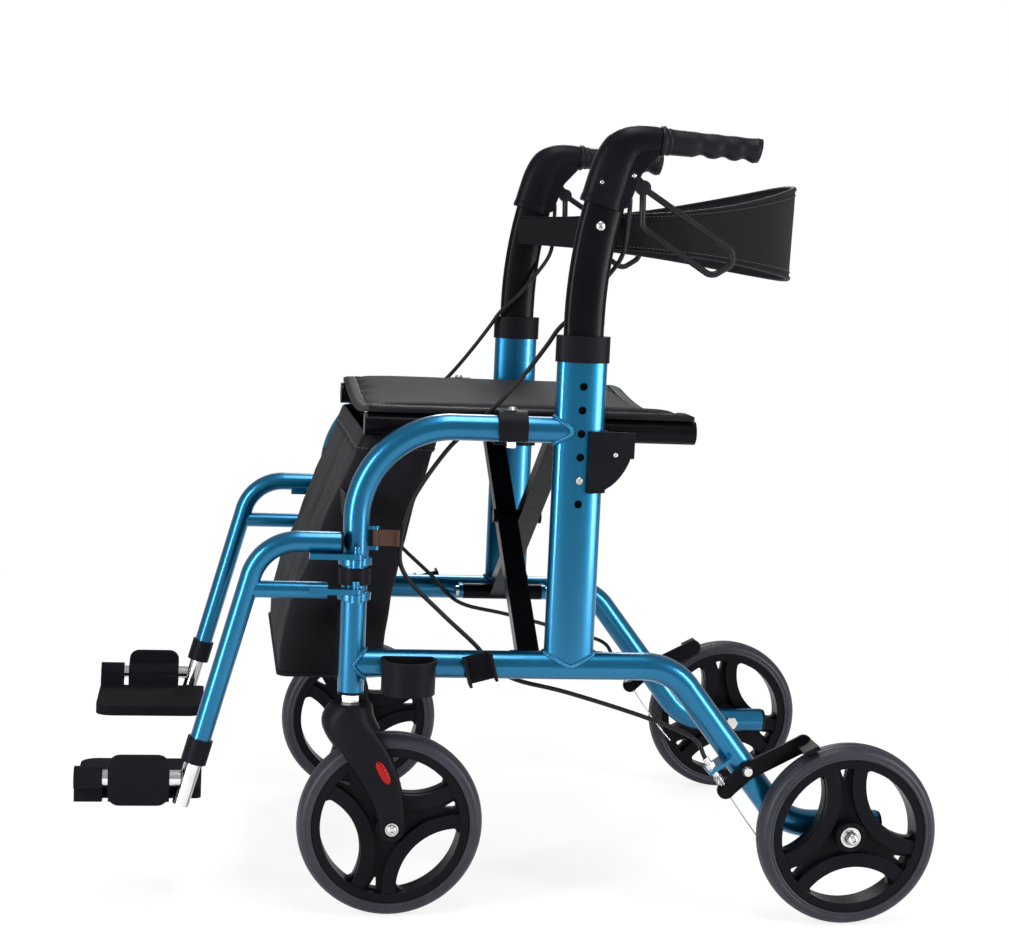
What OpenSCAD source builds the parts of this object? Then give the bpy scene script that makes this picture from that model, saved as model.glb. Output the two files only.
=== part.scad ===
// Rollator transport chair: a folding walking frame with a sling seat and swing-away footrests.
// Millimetres. +Z is up, -Y is the way the passenger faces, +X is the passenger's left.
// The origin is on the floor, under the middle of the chair's box.
// The left side is modelled, and the right side is its mirror image.

/* [Frame] */
// Distance from the middle plane to the tubes of a side frame
frame_x = 240; // [225:1:260]
// Front post's place along the chair
post_y = -179; // [-185:1:-172]
// Height of the top rail's axis
top_rail_z = 528; // [520:1:540]
// Bend between the top rail and the front post
top_bend_r = 100; // [80:1:110]
// Lower end of the front post
post_foot_z = 244; // [242:1:250]
// Diameter of the top rail and front post
rail_d = 28; // [26:0.5:29]
// Height of the base rail's axis
base_rail_z = 274; // [270:1:280]
// Diameter of the base rail and rear leg
base_rail_d = 30; // [28:0.5:31]
// Place where the rear leg starts to slope
slope_y = 168; // [160:1:175]
// Slope of the rear leg below the horizontal
slope_angle = 52; // [50:1:55]
// Bends of the rear leg
leg_bend_r = 62; // [50:1:70]
// Rear end of the leg tube
leg_end_y = 409; // [400:1:420]
// Wall of the frame tubes
tube_wall = 2; // [1.5:0.25:2.5]

/* [Upright and handle] */
// Upright's place along the chair
upright_y = 54; // [48:1:60]
// Length of the upright's oval section
upright_l = 54; // [52:1:56]
// Thickness of the upright's oval section
upright_w = 30; // [28.5:0.5:31]
// End radius of the upright's oval section
upright_end_r = 11; // [10:0.5:12]
// Upper end of the upright
upright_top_z = 601; // [596:1:610]
// Top hole of the height row
top_hole_z = 576; // [570:1:578]
// Distance between height holes
hole_pitch = 25; // [20:1:26]
// Number of height holes
hole_count = 6; // [5:1:6]
// Hole that the button sits in, counted from the top
set_hole = 5; // [3:1:5]
// Diameter of the height holes
hole_d = 8.6; // [8:0.2:10]
// Height of the collar above the upright
collar_h = 28; // [24:1:32]
// Wall of the collar outside the upright's section
collar_wall = 2; // [1.5:0.25:2.5]
// Length of the handle tube's oval section
handle_l = 43; // [41:1:44]
// Thickness of the handle tube's oval section
handle_w = 22; // [20:0.5:23]
// End radius of the handle tube's oval section
handle_end_r = 8; // [7:0.5:9]
// Lower end of the handle tube, inside the upright
handle_foot_z = 430; // [425:1:440]
// Straight stretch of the handle tube between the collar and its lean
lean_start = 11; // [9:1:21]
// Radius of the lean
lean_r = 530; // [500:10:600]
// Lean of the handle tube's top
lean_angle = 14; // [12:1:15]

/* [Handle housing and grip] */
// Half width of the moulded elbow
elbow_half_w = 17; // [16:0.5:18]
// Start of the grip
grip_y = 126; // [124:1:130]
// Length of the grip
grip_len = 110; // [100:1:115]
// Rise of the grip's axis, at its start, above the end of the handle tube's lean
grip_rise = 68.8; // [66:0.1:70]
// Downward slope of the grip
grip_slope = 2.6; // [0:0.2:4]
// Diameter of the grip
grip_d = 29; // [28:0.5:32]
// Diameter of the grip's core
grip_core_d = 22; // [20:0.5:24]
// Brake lever's pivot along the chair
lever_y = 97.4; // [95:0.2:99]
// Rise of the brake lever's pivot above the end of the handle tube's lean
lever_rise = 30.5; // [29:0.1:32]
// Rod of the brake lever's loop
lever_rod_d = 7; // [6:0.5:8]
// Pin of the brake lever
lever_pin_d = 5; // [4:0.5:6]

/* [Wheels] */
// Diameter of all four wheels
wheel_d = 200; // [196:1:202]
// Width of a tyre
tyre_w = 32; // [28:1:33]
// Depth of a tyre
tyre_depth = 15; // [12:0.5:17]
// Depth of the rim ring under the tyre
rim_ring_depth = 9; // [7:0.5:10]
// Thickness of the rim's thin web
rim_web_t = 9; // [6:1:12]
// Thickness of the rim's arched arms
rim_arm_t = 24; // [20:1:26]
// Width of an arched arm
rim_arm_w = 16; // [14:0.5:18]
// Nearest reach of a big opening to the axle
opening_reach = 36; // [34:1:40]
// Half angle of a big opening at the rim
opening_half_angle = 40; // [36:1:42]
// Width of a small slot at the rim
rim_slot_w = 9; // [7:0.5:11]
// Hub diameter
hub_d = 32; // [30:1:34]
// Hub width
hub_w = 37; // [36:0.5:37.5]
// Bearing diameter
bearing_d = 22; // [20:0.5:24]
// Bearing width
bearing_w = 7; // [6:0.5:9]
// Axle bolt diameter
axle_d = 10; // [8:0.5:12]
// Rear axle's place along the chair
rear_axle_y = 364; // [360:1:370]
// Rear wheel's mid-plane outside the frame tubes
rear_wheel_out = 36; // [36:0.5:40]
// Caster trail behind its stem
trail = 47; // [44:1:50]

/* [Caster] */
// Gap between the fork's legs
fork_gap = 38; // [37.6:0.2:40]
// Thickness of a fork leg
fork_leg_t = 6; // [5:0.5:7]
// Top of the fork's head
fork_top_z = 232; // [229:1:235]
// Clearance between the tyre and the fork's head
fork_tyre_gap = 5; // [3:0.5:7]
// Stem diameter
stem_d = 12; // [10:0.5:14]

/* [Fold] */
// Brace foot pivot's distance from the middle plane
brace_foot_x = 211; // [209:1:213]
// Diameter of a brace foot tube
brace_foot_d = 20; // [18:0.5:21]
// Front end of the brace foot tubes
brace_foot_y = -5; // [-10:1:0]
// Length of a brace foot tube
brace_foot_len = 102; // [95:1:110]
// Middle of the front brace bar along the chair
brace_bar_y = 15; // [12:1:18]
// Width of a brace bar along the chair
brace_bar_w = 24; // [20:1:25]
// Thickness of a brace bar
brace_bar_t = 16; // [14:1:18]
// Gap between the two bars
brace_gap = 2; // [1.5:0.25:3]
// Diameter of the fold's pivot pins
fold_pin_d = 8; // [6:0.5:9]

/* [Seat] */
// Seat rail's distance from the middle plane
seat_rail_x = 205; // [203:0.5:206]
// Height of the seat rails' axis
seat_rail_z = 526; // [522:1:530]
// Diameter of the seat rails
seat_rail_d = 26; // [24:0.5:27]
// Front end of the seat rails
seat_front_y = -172; // [-178:1:-165]
// Length of the seat rails
seat_len = 360; // [350:1:370]
// Thickness of the padded seat sling
sling_t = 9; // [7:0.5:12]
// Sag of the seat sling's middle
sling_sag = 14; // [8:1:18]

/* [Footrest] */
// Footrest hinge outside the post's axis
hinge_out = 22; // [22:0.25:24]
// Hinge pin diameter
hinge_pin_d = 8; // [7:0.5:8.5]
// Footrest tube's plane outside the post's axis
hanger_out = 15; // [14:0.5:17]
// Diameter of the footrest tube
hanger_d = 22; // [21:0.5:23]
// Height of the footrest's top tube
hanger_top_z = 405; // [404:0.5:408]
// Bend of the footrest tube
hanger_bend_r = 51; // [44:1:51]
// Slope of the footrest tube from the vertical
hanger_slope = 15.2; // [14.5:0.1:16]
// Reach of the footrest's corner in front of the post
hanger_reach = 98.8; // [96:0.2:102]
// Lower end of the footrest tube
hanger_foot_z = 180; // [176:1:184]
// Height of the footrest's lower stay
hanger_stay_z = 354; // [353:0.25:355]
// Diameter of the footrest's lower stay
hanger_stay_d = 18; // [16:0.5:18]
// Thickness of a hinge plate
hinge_plate_t = 6; // [5:0.5:7]
// Top of the lower hinge lug
lower_lug_z = 351; // [350:0.5:352]
// Top of the upper hinge lug
upper_lug_z = 388; // [387.5:0.25:388.5]
// Height of a hinge lug
lug_h = 8; // [6:0.5:10]
// Diameter of the sliding foot tube
foot_tube_d = 18; // [17:0.5:18]
// Lower end of the foot tube
foot_tube_z = 124; // [120:1:130]
// Height of the footplate's pivot rod
foot_pivot_z = 152; // [150:1:155]
// Diameter of the footplate's pivot rod
foot_rod_d = 16; // [14:0.5:17]
// Front end of the footplates
footplate_front_y = -464; // [-468:1:-460]
// Length of a footplate
footplate_len = 131; // [120:1:131]
// Inner edge of a footplate
footplate_inner_x = 123; // [123:1:130]
// Drop of the tread below the pivot rod
tread_drop = 14; // [14:0.5:16]
// Thickness of a footplate
tread_t = 12; // [10:0.5:14]

/* [Brake] */
// Height of the brake arm's pivot
brake_pivot_z = 163; // [158:1:168]
// Width of the brake arm's strip
brake_arm_w = 19; // [16:1:20]
// Thickness of the brake arm's strip
brake_arm_t = 3.5; // [2.5:0.25:3.5]
// Place of the brake shoe round the rear tyre, from the level rearward line
shoe_angle = 117; // [114:1:120]
// Length of the brake shoe round the tyre
shoe_len = 18; // [14:1:22]
// Thickness of the brake shoe
shoe_t = 5; // [4:0.5:6]
// Gap between the shoe and the tyre while the brake is off
shoe_gap = 3.5; // [3:0.25:4]
// Diameter of a brake cable's sheath
cable_d = 5; // [4.5:0.5:5]

/* [Soft parts] */
// Half width of the storage bag
bag_half_w = 188; // [180:1:188]
// Thickness of the back strap
strap_t = 4; // [3:0.5:5]
// Rearmost reach of the back strap
strap_rear_y = 335; // [320:1:345]
// Depth of the back strap's middle line below the end of the handle tube's lean
strap_below = 20.2; // [16.2:1:26.2]
// Height of the strap's ends
strap_end_h = 36; // [30:1:42]
// Drop of the strap's ends below its middle line
strap_end_drop = 8; // [6:1:12]
// Height of the strap's middle
strap_mid_h = 112; // [100:1:118]

/* [Hidden] */
$fn = 48;
eps = 1;
// Clearances: between pieces that run on each other, sit in each other, or must only stay clear
run_gap = 0.05;
seat_gap = 0.05;
clear_gap = 0.3;
// A tube's straight stretch reaches a little into its bend, whose section is a hair larger
bend_lap = 0.15;
bend_grow = 1.01;

wheel_r = wheel_d / 2;
rim_r = wheel_r - tyre_depth;
opening_r = rim_r - rim_ring_depth;
caster_axle_y = post_y + trail;
rear_wheel_x = frame_x + rear_wheel_out;
slope_foot_y = slope_y + (base_rail_z - wheel_r) / tan(slope_angle);
brake_pivot_y = slope_foot_y - (brake_pivot_z - wheel_r) / tan(slope_angle);
set_hole_z = top_hole_z - (set_hole - 1) * hole_pitch;
collar_top_z = upright_top_z + collar_h;
lean_z = collar_top_z + lean_start;
lean_corner = [upright_y, lean_z + lean_r * tan(lean_angle / 2)];
lean_dir = [sin(lean_angle), cos(lean_angle)];
lean_end = lean_corner + lean_dir * lean_r * tan(lean_angle / 2);
grip_z = lean_end.y + grip_rise;
lever_z = lean_end.y + lever_rise;
strap_z = lean_end.y - strap_below;
hinge_x = frame_x + hinge_out;
hanger_x = frame_x + hanger_out;
hanger_back_y = post_y - rail_d / 2 - 3;
brace_rise = seat_rail_z - base_rail_z;
brace_span = brace_foot_x + seat_rail_x;
brace_angle = atan2(brace_rise, brace_span);
brace_len = norm([brace_rise, brace_span]);
brace_mid_z = base_rail_z + brace_rise * brace_foot_x / brace_span;
rear_bar_y = brace_bar_y + brace_bar_w + brace_gap;
black = "#1b1b1f";
blue = "#1f7fae";
steel = "#c4c6c8";

// Path helpers for points in the side plane, as [y, z]
function unit(v) = v / norm(v);
function turn(a, b, c) = let (u = unit(b - a), w = unit(c - b)) atan2(cross(u, w), u * w);
function setback(a, b, c, r) = r * tan(abs(turn(a, b, c)) / 2);
function arc_points(a, b, c, r, n) = r == 0 ? [b] :
    let (
        u = unit(b - a),
        ph = turn(a, b, c),
        s = b - u * setback(a, b, c, r),
        m = s + r * sign(ph) * [-u.y, u.x],
        a0 = atan2(s.y - m.y, s.x - m.x)
    )
    [for (k = [0 : n]) m + r * [cos(a0 + ph * k / n), sin(a0 + ph * k / n)]];
function rounded(pts, r, n = 6) = let (c = len(pts))
    [for (i = [0 : c - 1])
        each arc_points(pts[(i + c - 1) % c], pts[i], pts[(i + 1) % c], is_list(r) ? r[i] : r, n)];
function lengthened(pts, e) = let (n = len(pts), last = pts[n - 1])
    [for (i = [0 : n - 1])
        i == 0 ? pts[0] - e * unit(pts[1] - pts[0]) :
        i == n - 1 ? last + e * unit(last - pts[n - 2]) : pts[i]];

// Turns [along Y, along Z, along X] drawing space into the side plane
module side(x = frame_x) translate([x, 0, 0]) rotate([90, 0, 90]) children();

// Turns [along X, along Z, along -Y] drawing space into a cross plane
module cross_plane(y) translate([0, y, 0]) rotate([90, 0, 0]) children();

// Carries a section along a path with round bends
module follow(pts, bends = []) {
    n = len(pts);
    for (i = [0 : n - 2]) {
        a = pts[i];
        b = pts[i + 1];
        t0 = i == 0 ? 0 : setback(pts[i - 1], a, b, bends[i - 1]);
        t1 = i == n - 2 ? 0 : setback(a, b, pts[i + 2], bends[i]);
        u = unit(b - a);
        lap0 = i == 0 ? 0 : bend_lap;
        lap1 = i == n - 2 ? 0 : bend_lap;
        start = a + u * (t0 - lap0);
        translate([start.x, start.y, 0]) rotate(atan2(u.y, u.x)) rotate([90, 0, 90])
            linear_extrude(norm(b - a) - t0 - t1 + lap0 + lap1) children();
        if (i < n - 2) {
            ph = turn(a, b, pts[i + 2]);
            s = b - u * t1;
            m = s + bends[i] * sign(ph) * [-u.y, u.x];
            a0 = atan2(s.y - m.y, s.x - m.x);
            translate([m.x, m.y, 0]) rotate(min(a0, a0 + ph))
                rotate_extrude(angle = abs(ph)) translate([bends[i], 0]) scale(bend_grow) children();
        }
    }
}

module tube(pts, bends, d, wall = tube_wall) difference() {
    follow(pts, bends) circle(d = d);
    follow(lengthened(pts, eps), bends) circle(d = d - 2 * wall);
}

// Four-arc oval: half length along the first axis, half thickness, end radius
module oval(a, b, r) {
    c = a - r;
    d = (c * c - (b - r) * (b - r)) / (2 * (b - r));
    big_r = b + d;
    x_t = big_r * c / norm([c, d]);
    intersection() {
        translate([0, -d]) circle(big_r, $fn = 96);
        translate([0, d]) circle(big_r, $fn = 96);
        square([2 * x_t, 2 * b + eps], center = true);
    }
    for (s = [-1, 1]) translate([s * c, 0]) circle(r);
}

module upright_section(grow = 0)
    oval(upright_l / 2 + grow, upright_w / 2 + grow, upright_end_r + grow);

module handle_section(grow = 0)
    oval(handle_l / 2 + grow, handle_w / 2 + grow, handle_end_r + grow);

// Side frame tubes
top_path = [[upright_y, top_rail_z], [post_y, top_rail_z], [post_y, post_foot_z]];
base_path = [[post_y, base_rail_z], [slope_y, base_rail_z], [slope_foot_y, wheel_r], [leg_end_y, wheel_r]];
base_bends = [leg_bend_r, leg_bend_r];

module upright() color(blue) difference() {
    side() follow([[upright_y, base_rail_z], [upright_y, upright_top_z]]) upright_section();
    side() follow([[upright_y, base_rail_z - eps], [upright_y, upright_top_z + eps]])
        upright_section(-tube_wall);
    side() follow([[upright_y - upright_l, base_rail_z], [upright_y + upright_l, base_rail_z]])
        circle(d = base_rail_d);
    for (i = [0 : hole_count - 1])
        side() translate([upright_y, top_hole_z - i * hole_pitch, 0]) cylinder(d = hole_d, h = upright_w);
}

// Arch tube: top rail and front post in one, with the welded footrest hinge lugs
lug_ring_d = rail_d + 8;
lug_ear_d = 15;
ear_inset = 0.6;
latch_pin_y = post_y + rail_d / 2 + 6;
latch_pin_d = 4;
latch_ear_h = 4;
latch_z = 400;
latch_h = 17;

module hinge_lug(top_z) {
    translate([0, 0, top_z - lug_h]) {
        translate([frame_x, post_y, 0]) cylinder(d = lug_ring_d, h = lug_h);
        translate([hinge_x, post_y, 0]) cylinder(d = lug_ear_d, h = lug_h);
        translate([frame_x, post_y - lug_ear_d / 2 + ear_inset, 0]) cube([hinge_out, lug_ear_d - 2 * ear_inset, lug_h]);
    }
    translate([hinge_x, post_y, top_z - lug_h]) cylinder(d = hinge_pin_d, h = lug_h + hinge_plate_t + 8);
}

module latch_ears() {
    ear_y = latch_pin_y - post_y;
    for (z = [latch_z - latch_ear_h - clear_gap, latch_z + latch_h + clear_gap]) {
        translate([frame_x, latch_pin_y, z]) cylinder(d = 9, h = latch_ear_h);
        translate([frame_x - 4.5 + ear_inset, post_y, z]) cube([9 - 2 * ear_inset, ear_y, latch_ear_h]);
    }
    translate([frame_x, latch_pin_y, latch_z - eps]) cylinder(d = latch_pin_d, h = latch_h + 2 * eps);
}

module top_rail() color(blue) difference() {
    union() {
        side() follow(top_path, [top_bend_r]) circle(d = rail_d);
        for (z = [lower_lug_z, upper_lug_z]) hinge_lug(z);
        latch_ears();
    }
    side() follow(lengthened(top_path, eps), [top_bend_r]) circle(d = rail_d - 2 * tube_wall);
    side() follow([[upright_y, top_rail_z - rail_d], [upright_y, top_rail_z + rail_d]]) upright_section();
    translate([frame_x, saddle_y, top_rail_z - rail_d]) cylinder(d = saddle_bolt_d, h = 2 * rail_d);
}

// Base rail: runs back from the post, slopes down as the rear leg and ends level at the axle
brace_lug_t = 5;
brace_lug_d = 18;
stop_tab_t = 4;
stop_reach = 28;

module brace_lugs() {
    for (y = [brace_foot_y - brace_lug_t - clear_gap, brace_foot_y + brace_foot_len + clear_gap]) {
        translate([brace_foot_x, y, base_rail_z]) rotate([-90, 0, 0]) cylinder(d = brace_lug_d, h = brace_lug_t);
        translate([brace_foot_x, y, base_rail_z - brace_lug_d / 2 + ear_inset])
            cube([frame_x - brace_foot_x, brace_lug_t, brace_lug_d - 2 * ear_inset]);
    }
}

// Tab that holds the end of the brake cable's sheath, square to the cable's pull
brake_bolt_d = 6;
pull_angle = -55;
stop_at = [brake_pivot_y - 38, brake_pivot_z + 1];
adjuster_d = 7;

module along_pull() side() translate([stop_at.x, stop_at.y, base_rail_d / 2]) rotate(pull_angle) children();

module cable_stop() difference() {
    along_pull() translate([-stop_tab_t / 2, -6, -20]) cube([stop_tab_t, stop_reach, 28]);
    along_pull() rotate([0, 90, 0]) cylinder(d = adjuster_d + 2 * seat_gap, h = 4 * stop_tab_t, center = true);
}

module base_rail() color(blue) difference() {
    union() {
        side() follow(base_path, base_bends) circle(d = base_rail_d);
        brace_lugs();
        cable_stop();
    }
    side() follow(lengthened(base_path, eps), base_bends) circle(d = base_rail_d - 2 * tube_wall);
    translate([frame_x, post_y, base_rail_z - base_rail_d]) cylinder(d = rail_d, h = 2 * base_rail_d);
    for (y = [brace_foot_y - brace_lug_t - eps, brace_foot_y + brace_foot_len])
        translate([brace_foot_x, y, base_rail_z]) rotate([-90, 0, 0])
            cylinder(d = fold_pin_d + 2 * seat_gap, h = brace_lug_t + 2 * eps);
    side() translate([rear_axle_y, wheel_r, -base_rail_d])
        cylinder(d = axle_d + 2 * seat_gap, h = 2 * base_rail_d);
    side() translate([brake_pivot_y, brake_pivot_z, -base_rail_d])
        cylinder(d = brake_bolt_d + 2 * seat_gap, h = 2 * base_rail_d);
}

// Moulded plugs and bushes of the frame: leg end plug, post sleeve and caster stem bush
plug_head = 4;
plug_spigot = 16;
sleeve_z = 359;
sleeve_h = 18;
sleeve_wall = 3;
bush_h = 40;
bush_flange = 3;

module frame_plugs() color(black) {
    bore_r = rail_d / 2 - tube_wall;
    side() translate([leg_end_y - plug_spigot, wheel_r, 0]) rotate([0, 90, 0]) {
        cylinder(r = base_rail_d / 2 - tube_wall - seat_gap, h = plug_spigot);
        translate([0, 0, plug_spigot]) cylinder(d1 = base_rail_d, d2 = base_rail_d - 3, h = plug_head);
    }
    translate([frame_x, post_y, sleeve_z]) difference() {
        cylinder(d = rail_d + 2 * sleeve_wall, h = sleeve_h);
        translate([0, 0, -eps]) cylinder(d = rail_d + 2 * seat_gap, h = sleeve_h + 2 * eps);
    }
    translate([frame_x, post_y, post_foot_z]) difference() {
        union() {
            cylinder(r = bore_r - seat_gap, h = bush_h);
            translate([0, 0, -bush_flange]) cylinder(d = rail_d, h = bush_flange);
        }
        translate([0, 0, -bush_flange - eps]) cylinder(d = stem_d + 2 * seat_gap, h = bush_h + bush_flange + 2 * eps);
    }
}

// Collar that closes the upright and guides the handle tube
collar_skirt = 16;

module upright_collar() color(black) difference() {
    union() {
        side() follow([[upright_y, upright_top_z], [upright_y, collar_top_z]]) upright_section(collar_wall);
        side() follow([[upright_y, upright_top_z - collar_skirt], [upright_y, upright_top_z + eps]])
            upright_section(-tube_wall - seat_gap);
    }
    side() follow([[upright_y, upright_top_z - collar_skirt - eps], [upright_y, collar_top_z + eps]])
        handle_section(2 * clear_gap);
}

// Seat brackets: a saddle on the top rail and a quadrant behind the upright, each with a cradle for the seat rail
saddle_y = -18.5;
saddle_len = 31;
saddle_wall = 6;
saddle_bolt_d = 6;
cradle_wall = 4;
quadrant_y = upright_y + 9;
quadrant_len = 49;
quadrant_h = 66;
quadrant_top_z = seat_rail_z + 3;
quadrant_wall = 4;
ledge_len = 26;

module cradle_cut() translate([seat_rail_x, seat_rail_z]) {
    circle(d = seat_rail_d + 2 * clear_gap);
    translate([-seat_rail_d, -seat_rail_d / 4]) square([1.5 * seat_rail_d + 4, 2 * seat_rail_d]);
}

module seat_brackets() color(black) {
    rail_r = rail_d / 2;
    low_z = seat_rail_z - seat_rail_d / 2 - cradle_wall;
    difference() {
        cross_plane(saddle_y + saddle_len / 2) linear_extrude(saddle_len) difference() {
            union() {
                translate([frame_x, top_rail_z]) circle(r = rail_r + saddle_wall);
                translate([seat_rail_x - seat_rail_d / 2, low_z])
                    square([frame_x - seat_rail_x + seat_rail_d / 2, top_rail_z - low_z]);
            }
            translate([frame_x, top_rail_z]) circle(r = rail_r + seat_gap);
            translate([frame_x - rail_r + 2, top_rail_z - 2 * rail_r]) square(2 * rail_r);
            cradle_cut();
        }
        translate([frame_x, saddle_y, top_rail_z]) cylinder(d = saddle_bolt_d + 2 * seat_gap, h = 2 * rail_d);
    }
    difference() {
        union() {
            side() translate([0, 0, upright_w / 2 + seat_gap]) linear_extrude(quadrant_wall)
                polygon([[quadrant_y, quadrant_top_z],
                    for (k = [0 : 12]) [quadrant_y + quadrant_len * cos(7.5 * k), quadrant_top_z - quadrant_h * sin(7.5 * k)]]);
            side() follow([[upright_y, quadrant_top_z - quadrant_h], [upright_y, quadrant_top_z]])
                upright_section(quadrant_wall + seat_gap);
            cross_plane(quadrant_y + quadrant_len) linear_extrude(ledge_len)
                translate([seat_rail_x - seat_rail_d / 2, low_z - 8])
                square([frame_x + upright_w / 2 - seat_rail_x + seat_rail_d / 2 + eps, seat_rail_z - low_z + 4]);
        }
        side() follow([[upright_y, quadrant_top_z - quadrant_h - eps], [upright_y, quadrant_top_z + eps]])
            upright_section(seat_gap);
        translate([0, quadrant_y - upright_l, quadrant_top_z - quadrant_h - eps])
            cube([2 * frame_x, upright_l, quadrant_h + 2 * eps]);
        cross_plane(quadrant_y + quadrant_len + eps) linear_extrude(ledge_len + upright_l) cradle_cut();
    }
}

// Spring clip on the base rail that holds the footrest tube when it is swung back
clip_h = 30;
clip_wall = 3;
clip_depth = 18;
clip_side_gap = 1.5;
stored_x = 2 * hinge_x - hanger_x;
hanger_corner = [post_y - hanger_reach, hanger_top_z];
hanger_dir = [-sin(hanger_slope), -cos(hanger_slope)];
function hanger_at(z) = hanger_corner + hanger_dir * (hanger_top_z - z) / cos(hanger_slope);
stored_y = 2 * post_y - hanger_at(base_rail_z).x;

module hanger_clip() color(black) difference() {
    gap = hanger_d + 2 * clip_side_gap;
    inner_x = stored_x - hanger_d / 2 - clear_gap;
    union() {
        translate([inner_x, stored_y, base_rail_z]) rotate([hanger_slope, 0, 0]) difference() {
            translate([-clip_wall, -gap / 2 - clip_wall, -clip_h / 2])
                cube([clip_depth + clip_wall, gap + 2 * clip_wall, clip_h]);
            translate([0, -gap / 2, -clip_h]) cube([clip_depth + eps, gap, 2 * clip_h]);
        }
        translate([frame_x, stored_y - clip_h / 2, base_rail_z - clip_h / 3])
            cube([inner_x - frame_x, clip_h, 2 * clip_h / 3]);
    }
    side() follow([[stored_y - clip_h, base_rail_z], [stored_y + clip_h, base_rail_z]])
        circle(d = base_rail_d + 2 * seat_gap);
    translate([frame_x - base_rail_d, stored_y - clip_h, base_rail_z - clip_h])
        cube([base_rail_d, 2 * clip_h, 2 * clip_h]);
    translate([inner_x, stored_y, base_rail_z]) rotate([hanger_slope, 0, 0])
        translate([0, -gap / 2, -clip_h]) cube([clip_depth + eps, gap, 2 * clip_h]);
}

// Cup that holds the foot of a walking stick, flat against the base rail
cup_y = -121;
cup_r = 28.5;
cup_out = 30.5;
cup_z = 249;
cup_h = 36;
cup_wall = 2.5;
cup_lip = 1.5;

module cup_outline(grow, flat_x) intersection() {
    translate([frame_x + cup_out, cup_y]) circle(r = cup_r + grow);
    translate([flat_x, cup_y - 2 * cup_r]) square([4 * cup_r, 4 * cup_r]);
}

module cane_cup() color(black) translate([0, 0, cup_z]) {
    back_x = frame_x + base_rail_d / 2 + seat_gap;
    difference() {
        union() {
            linear_extrude(cup_h) cup_outline(0, back_x);
            translate([0, 0, cup_h - 4]) linear_extrude(4) cup_outline(cup_lip, back_x);
        }
        translate([0, 0, 3]) linear_extrude(cup_h) cup_outline(-cup_wall, back_x + cup_wall);
    }
}

// Steel hardware of a side frame: rear axle with its bearings, caster stem, pivot bolts and cable adjuster
axle_head_d = 17;
axle_head_h = 6;
washer_d = 18;
brake_arm_in = base_rail_d / 2 + 0.5;
stem_nut_d = 20;
pin_head_h = 4;

module bearing_pair(middle) for (s = [-1, 1])
    translate([0, 0, middle + s * (hub_w - bearing_w) / 2]) cylinder(d = bearing_d, h = bearing_w, center = true);

module frame_hardware() color(steel) {
    hub_out = rear_wheel_out + hub_w / 2;
    tube_r = base_rail_d / 2;
    side() translate([rear_axle_y, wheel_r, 0]) {
        translate([0, 0, -tube_r - 8]) cylinder(d = axle_d, h = hub_out + tube_r + 8);
        translate([0, 0, hub_out + clear_gap]) cylinder(d1 = axle_head_d, d2 = axle_head_d - 4, h = axle_head_h);
        translate([0, 0, hub_out - eps]) cylinder(d = axle_d, h = 2 * eps);
        translate([0, 0, -tube_r - 8]) cylinder(d = axle_head_d, h = 8 - seat_gap, $fn = 6);
        translate([0, 0, tube_r + seat_gap])
            cylinder(d = washer_d, h = rear_wheel_out - hub_w / 2 - tube_r - clear_gap);
        bearing_pair(rear_wheel_out);
    }
    translate([frame_x, post_y, fork_top_z - 24]) cylinder(d = stem_d, h = post_foot_z + bush_h - fork_top_z + 24);
    translate([frame_x, post_y, fork_top_z + clear_gap])
        cylinder(d = stem_nut_d, h = post_foot_z - bush_flange - fork_top_z - 2 * clear_gap, $fn = 6);
    side() translate([brake_pivot_y, brake_pivot_z, 0]) {
        translate([0, 0, -tube_r - 3]) cylinder(d = brake_bolt_d, h = tube_r + 3 + brake_arm_in + brake_arm_t + eps);
        translate([0, 0, brake_arm_in + brake_arm_t + clear_gap]) cylinder(d1 = 12, d2 = 9, h = 4);
        translate([0, 0, -tube_r - 5]) cylinder(d = 11, h = 5 - seat_gap, $fn = 6);
    }
    pin_over = brace_lug_t + clear_gap + seat_gap + pin_head_h;
    translate([brace_foot_x, brace_foot_y - pin_over, base_rail_z]) rotate([-90, 0, 0]) {
        cylinder(d = fold_pin_d, h = brace_foot_len + 2 * pin_over);
        for (z = [0, brace_foot_len + 2 * pin_over - pin_head_h])
            translate([0, 0, z]) cylinder(d = fold_pin_d + 5, h = pin_head_h);
    }
    translate([frame_x, saddle_y, top_rail_z - rail_d / 2 - 6]) {
        cylinder(d = saddle_bolt_d - 2 * seat_gap, h = rail_d + saddle_wall + 6);
        cylinder(d = 11, h = 6 - seat_gap, $fn = 6);
        translate([0, 0, rail_d + saddle_wall + 6 + seat_gap]) cylinder(d1 = 11, d2 = 7, h = 3);
        translate([0, 0, rail_d + saddle_wall + 5]) cylinder(d = saddle_bolt_d - 2 * seat_gap, h = 2);
    }
    along_pull() rotate([0, 90, 0]) translate([0, 0, -16]) difference() {
        union() {
            cylinder(d = adjuster_d, h = 24);
            translate([0, 0, 8]) cylinder(d = adjuster_d + 4, h = 16 - 8 - stop_tab_t / 2 - seat_gap, $fn = 6);
        }
        translate([0, 0, -eps]) cylinder(d = cable_d + 2 * seat_gap, h = 7);
        translate([0, 0, -eps]) cylinder(d = 2, h = 30);
    }
}

// Wheels: a soft tyre on a moulded rim with three arched arms
function arch_d() = let (c = opening_r * cos(opening_half_angle), s = opening_r * sin(opening_half_angle))
    (c * c + s * s - opening_reach * opening_reach) / (2 * (c - opening_reach));
arch_far = arch_d();
arch_r = arch_far - opening_reach;
opening_corner_r = 9;
web_lip = 0.8;

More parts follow.
